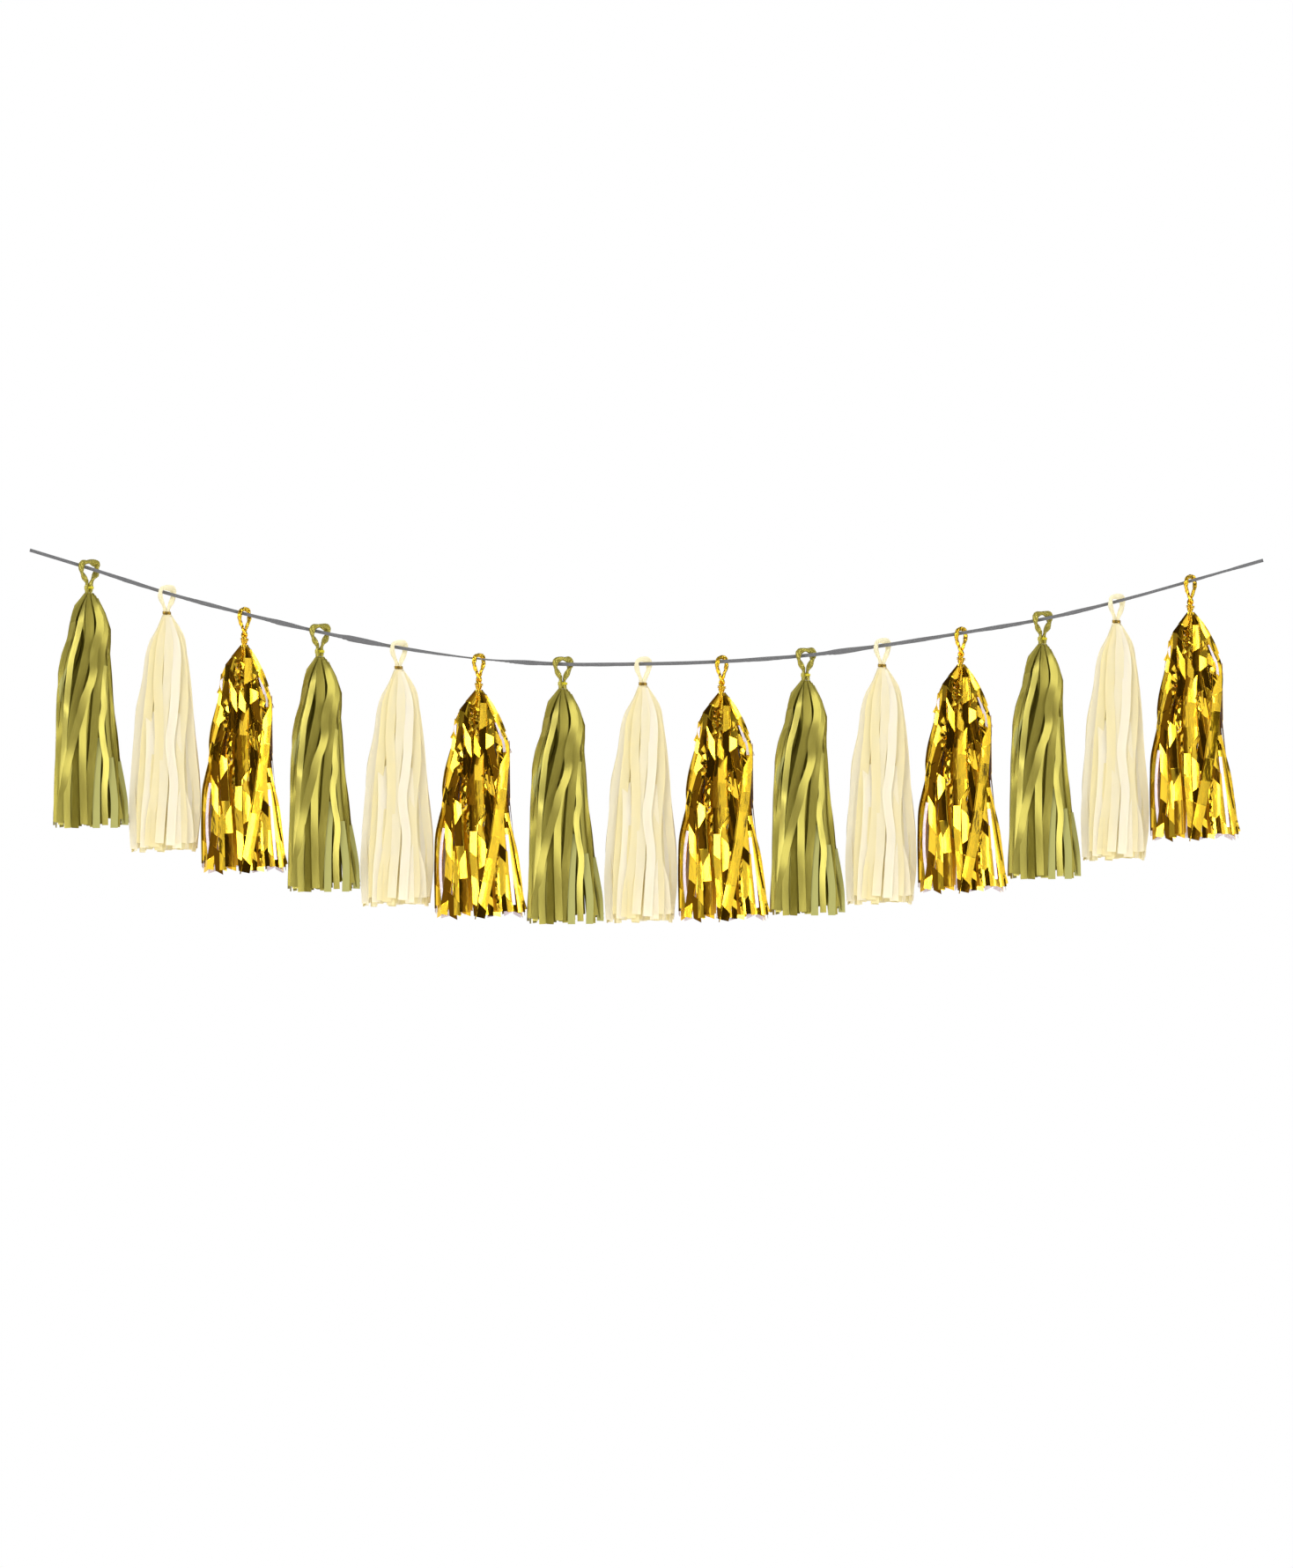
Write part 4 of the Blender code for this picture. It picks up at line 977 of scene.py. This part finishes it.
def front_strips(sheets, fringe, rng):
    """The front strips, listed one by one: soft curves, or facets where the stations are folds."""
    creases = film_creases(rng) if fringe.kind == "foil" else []
    for width_mm, tint, stations in [*FRONT_STRIPS[fringe.kind], *creases]:
        rows, skew, bow = np.array(stations, float), 0.0, SOFT_BOW_MM * MM
        rows[-1, 1] += rng.uniform(*HEM_TOSS_MM)
        if rows.shape[1] == 4:
            rows = through(rows, SOFT_STATIONS)
        else:
            bows = rng.uniform(0, LARGEST_BOW_MM, len(rows)) * MM
            rows, skew, bow = faceted(rows[:, :4], FOLD_SLANT * rows[:, 4] * MM, bows)
        x, falls, yaw, lifts = rows.T
        falls = np.minimum(falls, fringe.hem_mm + HEM_SPARE_MM)
        centres = fringe.on_front(x, falls, lifts)
        facing = stacked(np.sin(np.radians(yaw)), -np.cos(np.radians(yaw)), 0.0)
        half_widths = strip_half_widths(fringe.kind, falls, width_mm)
        # Painted light and shade: on the tissues a strip's tint makes it lighter or darker, like lit or shaded
        # paper.
        sheets.add(
            centres, facing, half_widths, bow, skew, columns=5, tint=tint if tint >= 0 else 0.5,
            seed=rng.uniform(0, 100), front=int(tint < 0), back=int(tint >= 0),
        )


print("crumpled places in the foil:", len(CRUMPLES_MM))

# %% Fringes
SEEDS = {"satin": 4, "cream": 11, "foil": 23}
FACES = {
    "satin": (satin_tissue, tissue_reverse),
    "cream": (cream_tissue, cream_tissue),
    "foil": (gold_foil, foil_reverse),
}

for tassel, fringe in fringes.items():
    rng = np.random.default_rng(SEEDS[fringe.kind])
    sheets = Sheets()
    lay_ring = foil_ring if fringe.kind == "foil" else tissue_ring
    for ring in range(len(RINGS[fringe.kind])):
        lay_ring(sheets, fringe, rng, ring)
    front_strips(sheets, fringe, rng)
    piece = sheets.make(tassel + "_strips", FACES[fringe.kind], folded=fringe.kind == "foil")
    dress(piece, tassel + "_fringe")

# %% [markdown]
# ## Twisted loops
# The middle of the sheets is twisted into a cord and bent into a loop. Tissue folds flat as it twists, so
# the satin and cream cords are flat bands that turn over as they go, with the lips of the folds winding
# round them. Foil crumples to a rounder cord with hard ridges. A tube whose section is a slim ellipse
# with a sawtooth on it, turning as it goes, gives both. The loop passes in front of the ribbon on its
# left and behind it on its right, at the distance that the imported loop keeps.

# %% Loop sizes, mm
LOOPS = {
    "satin": {
        "half_width": 8.8, "ropes": (5.8, 6.2, 7.4), "foot": 4.9, "gap": -1.0, "neck": 20.5,
        "foot_fall": 30.0, "turns": 0.0, "arch_power": 0.55, "bulge": 0.8, "crest": 1.4,
        "slim": 0.62, "turn_mm": 34, "lips": 2, "lip": 0.18, "wrinkle": 0.05,
    },
    "cream": {
        "half_width": 7.4, "ropes": (5.4, 6.6, 7.2), "foot": 4.5, "gap": -0.6, "neck": 21.2,
        "foot_fall": 26.2, "turns": 0.0, "arch_power": 0.85, "bulge": 1.0, "crest": 0.4,
        "slim": 0.80, "turn_mm": 40, "lips": 2, "lip": 0.12, "wrinkle": 0.04,
    },
    "foil": {
        "half_width": 5.1, "ropes": (5.2, 5.0, 5.4), "foot": 3.9, "gap": 0.0, "neck": 18.0,
        "foot_fall": 37.5, "turns": 1.25, "arch_power": 1.0, "bulge": 1.6, "crest": 1.0,
        "slim": 0.80, "turn_mm": 24, "lips": 3, "lip": 0.18, "wrinkle": 0.08,
    },
}
# A tuck of tissue hangs over the left half of the satin tie: x, y, z from the pivot, and radius.
TUCK_OVER_TIE_MM = (
    (-1.2, -3.2, -14.0, 0.6), (-2.2, -4.4, -17.0, 1.9), (-2.9, -5.2, -20.5, 2.3), (-3.0, -5.4, -24.0, 2.2),
    (-2.6, -5.2, -27.5, 1.7), (-2.2, -4.6, -30.5, 0.6),
)
ARCH_ROWS, LIMB_ROWS, FOOT_ROWS_PER_TURN, LOOP_SIDES = 30, 18, 20, 20
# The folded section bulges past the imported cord, so it keeps this much further from the ribbon.
LIP_CLEARANCE_MM = 1.0
# The arch rises in its middle, where the folded section is slim, by the loop's crest.
CREST_POWER = 12
print("loops of", list(LOOPS))


# %% Tube builder
class Tubes:
    """Collects closed tubes whose radius may change round them, and makes one object of them."""

    def __init__(self):
        self.points, self.faces, self.places, self.count = [], [], [], 0

    def add(self, centres, radii, sides, shape=None):
        """One tube. shape gives a factor for the radius at each (length, angle)."""
        rows = len(centres)
        along = along_of(centres)
        normals = unit(np.cross(along[:1], (0.3, 0.9, 0.2)))
        for i in range(1, rows):
            kept = normals[-1:] - along[i] * normals[-1].dot(along[i])
            normals = np.append(normals, unit(kept), axis=0)
        others = np.cross(along, normals)
        lengths = run_lengths(centres)[:, None]
        angles = np.arange(sides) * 2 * math.pi / sides
        spread = radii[:, None] * (shape(lengths, angles) if shape else 1)
        ring = np.cos(angles)[:, None] * normals[:, None] + np.sin(angles)[:, None] * others[:, None]
        self.points.append((centres[:, None] + ring * spread[..., None]).reshape(-1, 3))
        self.places.append(stacked(angles * radii[:, None] / MM, lengths / MM, 0.0))
        grid = self.count + np.arange(rows * sides).reshape(rows, sides)
        after = np.roll(grid, -1, axis=1)
        quads = np.stack([grid[:-1], after[:-1], after[1:], grid[1:]], axis=-1).reshape(-1, 4)
        self.faces += [*quads.tolist(), grid[0, ::-1].tolist(), grid[-1].tolist()]
        self.count += rows * sides

    def make(self, name, material, sharp_angle):
        return make_piece(name, self.points, self.faces, [material], self.places, 0.5, sharp_angle)


print("tube builder ready")


# %% Loop lines and sections
def loop_line(tassel):
    """The loop's centreline and radii, from the left foot over the ribbon to the right foot."""
    sizes, pivot = LOOPS[kinds[tassel]], pivots[tassel]
    low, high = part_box(tassel + "_loop")
    left_rope, top_rope, right_rope = (rope / 2 for rope in sizes["ropes"])
    top = (high.z - pivot.z) / MM - top_rope
    left_depth = (pivot.y - low.y) / MM - left_rope + LIP_CLEARANCE_MM
    right_depth = (high.y - pivot.y) / MM - right_rope + LIP_CLEARANCE_MM
    foot, half_width = sizes["foot"] / 2, sizes["half_width"]
    spacing = foot + sizes["gap"] / 2

    def limb(side, rope, depth):
        fall = np.linspace(0, 1, LIMB_ROWS + 1)[1:]
        open_share = (1 + np.cos(math.pi * fall)) / 2
        x = spacing + (half_width - spacing) * open_share + sizes["bulge"] * np.sin(math.pi * fall)
        upper = stacked(side * x, side * depth * open_share, -fall * sizes["neck"])
        feet = max(4, round(sizes["turns"] * FOOT_ROWS_PER_TURN))
        step = np.arange(1, feet + 1) / feet
        angle = 2 * math.pi * sizes["turns"] * step
        z = -sizes["neck"] - (sizes["foot_fall"] - sizes["neck"]) * step
        lower = stacked(side * spacing * np.cos(angle), side * spacing * np.sin(angle), z)
        radii = np.append(rope + (foot - rope) * eased(fall), np.full(feet, foot))
        return np.concatenate([upper, lower]), radii

    turn = np.linspace(-math.pi / 2, math.pi / 2, ARCH_ROWS)
    sine, cosine = np.sin(turn), np.abs(np.cos(turn))
    out = top + (np.where(sine < 0, left_depth, right_depth) - top) * np.abs(sine)
    height = np.minimum(out * cosine ** sizes["arch_power"], top) + sizes["crest"] * cosine**CREST_POWER
    arch = stacked(half_width * sine, out * sine, height)
    arch_radii = np.interp(sine, (-1, 0, 1), (left_rope, top_rope, right_rope))
    left, left_radii = limb(-1, left_rope, left_depth)
    right, right_radii = limb(1, right_rope, right_depth)
    centres = np.concatenate([left[::-1], arch, right]) * MM + np.array(pivot)
    return centres, np.concatenate([left_radii[::-1], arch_radii, right_radii]) * MM


def folded_section(sizes):
    """The factor of a cord's radius at each place along it and angle round it."""

    def factor(lengths, angles):
        turned = angles - 2 * math.pi * lengths / (sizes["turn_mm"] * MM)
        slim = sizes["slim"]
        flat = slim / np.sqrt((slim * np.cos(turned)) ** 2 + np.sin(turned) ** 2) * 2 / (1 + slim)
        saw = (sizes["lips"] * turned / (2 * math.pi) + 0.2) % 1.0 - 0.4
        wrinkle = np.sin(5 * angles + lengths / MM * 1.9) * np.sin(3 * angles - lengths / MM * 0.83)
        return flat * (1 - sizes["lip"] * saw + sizes["wrinkle"] * wrinkle)

    return factor


print("loop lines ready")

# %% Loops
LOOP_SHARP_ANGLE = 24

for tassel, kind in kinds.items():
    section = folded_section(LOOPS[kind])
    tubes = Tubes()
    tubes.add(*loop_line(tassel), LOOP_SIDES, section)
    if kind == "satin":
        tuck = np.array(TUCK_OVER_TIE_MM) * MM
        tubes.add(tuck[:, :3] + np.array(pivots[tassel]), tuck[:, 3], LOOP_SIDES, section)
    dress(tubes.make(tassel + "_twist", FACES[kind][0], LOOP_SHARP_ANGLE), tassel + "_loop")
print("loops:", len(kinds))

# %% [markdown]
# ## Ties
# The satin tassels are tied with a bright yellow string, the cream ones are bound with three turns of
# gold wire, and on the foil ones the film itself is wound round the neck and two ends of it hang down
# in front.

# %% Ties, mm
TIES = {
    "satin": {"rope": 1.5, "turns": 2.6, "pitch": 1.5},
    "cream": {"rope": 1.05, "turns": 3.2, "pitch": 1.25},
    "foil": {"rope": 1.3, "turns": 2.2, "pitch": 1.6},
}
TIE_MATERIALS = {"satin": yellow_string, "cream": gold_wire, "foil": gold_foil}
TIE_ROWS_PER_TURN, TIE_SIDES, TIE_SEAT_MM, TIE_SHARP_ANGLE = 24, 8, 0.1, 60
# The two ends of the film hang over the crown: place across and fall below the neck.
FILM_ENDS_MM = (
    ((-1.6, -6.0), (-2.2, -1.0), (-2.3, 4.0), (-1.8, 9.5)),
    ((1.2, -7.0), (0.6, 0.0), (0.4, 6.0), (0.8, 13.0)),
)
FILM_END_RADIUS_MM, FILM_END_LIFT_MM, FILM_END_ROWS, FILM_END_THINNING = 0.9, 3.4, 16, 0.6

for tassel, kind in kinds.items():
    tie, sizes, pivot = TIES[kind], LOOPS[kind], pivots[tassel]
    rope, foot = tie["rope"] / 2, sizes["foot"] / 2
    inner, straight = foot, foot + sizes["gap"] / 2
    if sizes["turns"]:
        inner, straight = foot + straight, 0.0
    radius = inner + rope + TIE_SEAT_MM
    step = np.arange(round(tie["turns"] * TIE_ROWS_PER_TURN) + 1) / TIE_ROWS_PER_TURN
    angle = 2 * math.pi * step + math.pi / 3
    x = radius * np.cos(angle) + straight * np.tanh(4 * np.cos(angle))
    start = np.array((pivot.x, pivot.y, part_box(tassel + "_tie")[1].z - rope * MM))
    tubes = Tubes()
    turns = stacked(x, radius * np.sin(angle), -step * tie["pitch"]) * MM + start
    tubes.add(turns, np.full(len(turns), rope * MM), TIE_SIDES)
    for film_end in FILM_ENDS_MM if kind == "foil" else ():
        strand = fringes[tassel].on_front(*through(film_end, FILM_END_ROWS).T, FILM_END_LIFT_MM)
        thinning = np.linspace(1, FILM_END_THINNING, len(strand))
        tubes.add(strand, thinning * FILM_END_RADIUS_MM * MM, TIE_SIDES)
    dress(tubes.make(tassel + "_binding", TIE_MATERIALS[kind], TIE_SHARP_ANGLE), tassel + "_tie")
print("ties:", {kind: tie["turns"] for kind, tie in TIES.items()})

# %% [markdown]
# ## Floor
# A plain pale floor lies well below the garland, out of the picture from the front.

# %% Floor
FLOOR_Z = -1.5
FLOOR_SIZE = (5.0, 4.0)

floor_material, tree = new_material("pale_painted_floor")
speckle = add_node(tree, "ShaderNodeTexNoise", {"Scale": 18.0, "Detail": 4.0})
shades = {"Factor": speckle, "A": linear("#e9e8e6"), "B": linear("#f1f0ee")}
colour = add_node(tree, "ShaderNodeMix", shades, data_type="RGBA")
shader = add_node(tree, "ShaderNodeBsdfPrincipled", {"Base Color": colour, "Roughness": 0.8})
add_node(tree, "ShaderNodeOutputMaterial", {"Surface": shader})
bpy.ops.mesh.primitive_plane_add(size=1, location=(VIEW_CENTRE.x, 0, FLOOR_Z))
floor = bpy.context.object
floor.name = "floor"
floor.scale = (*FLOOR_SIZE, 1)
floor.data.materials.append(floor_material)
print("floor at", FLOOR_Z)
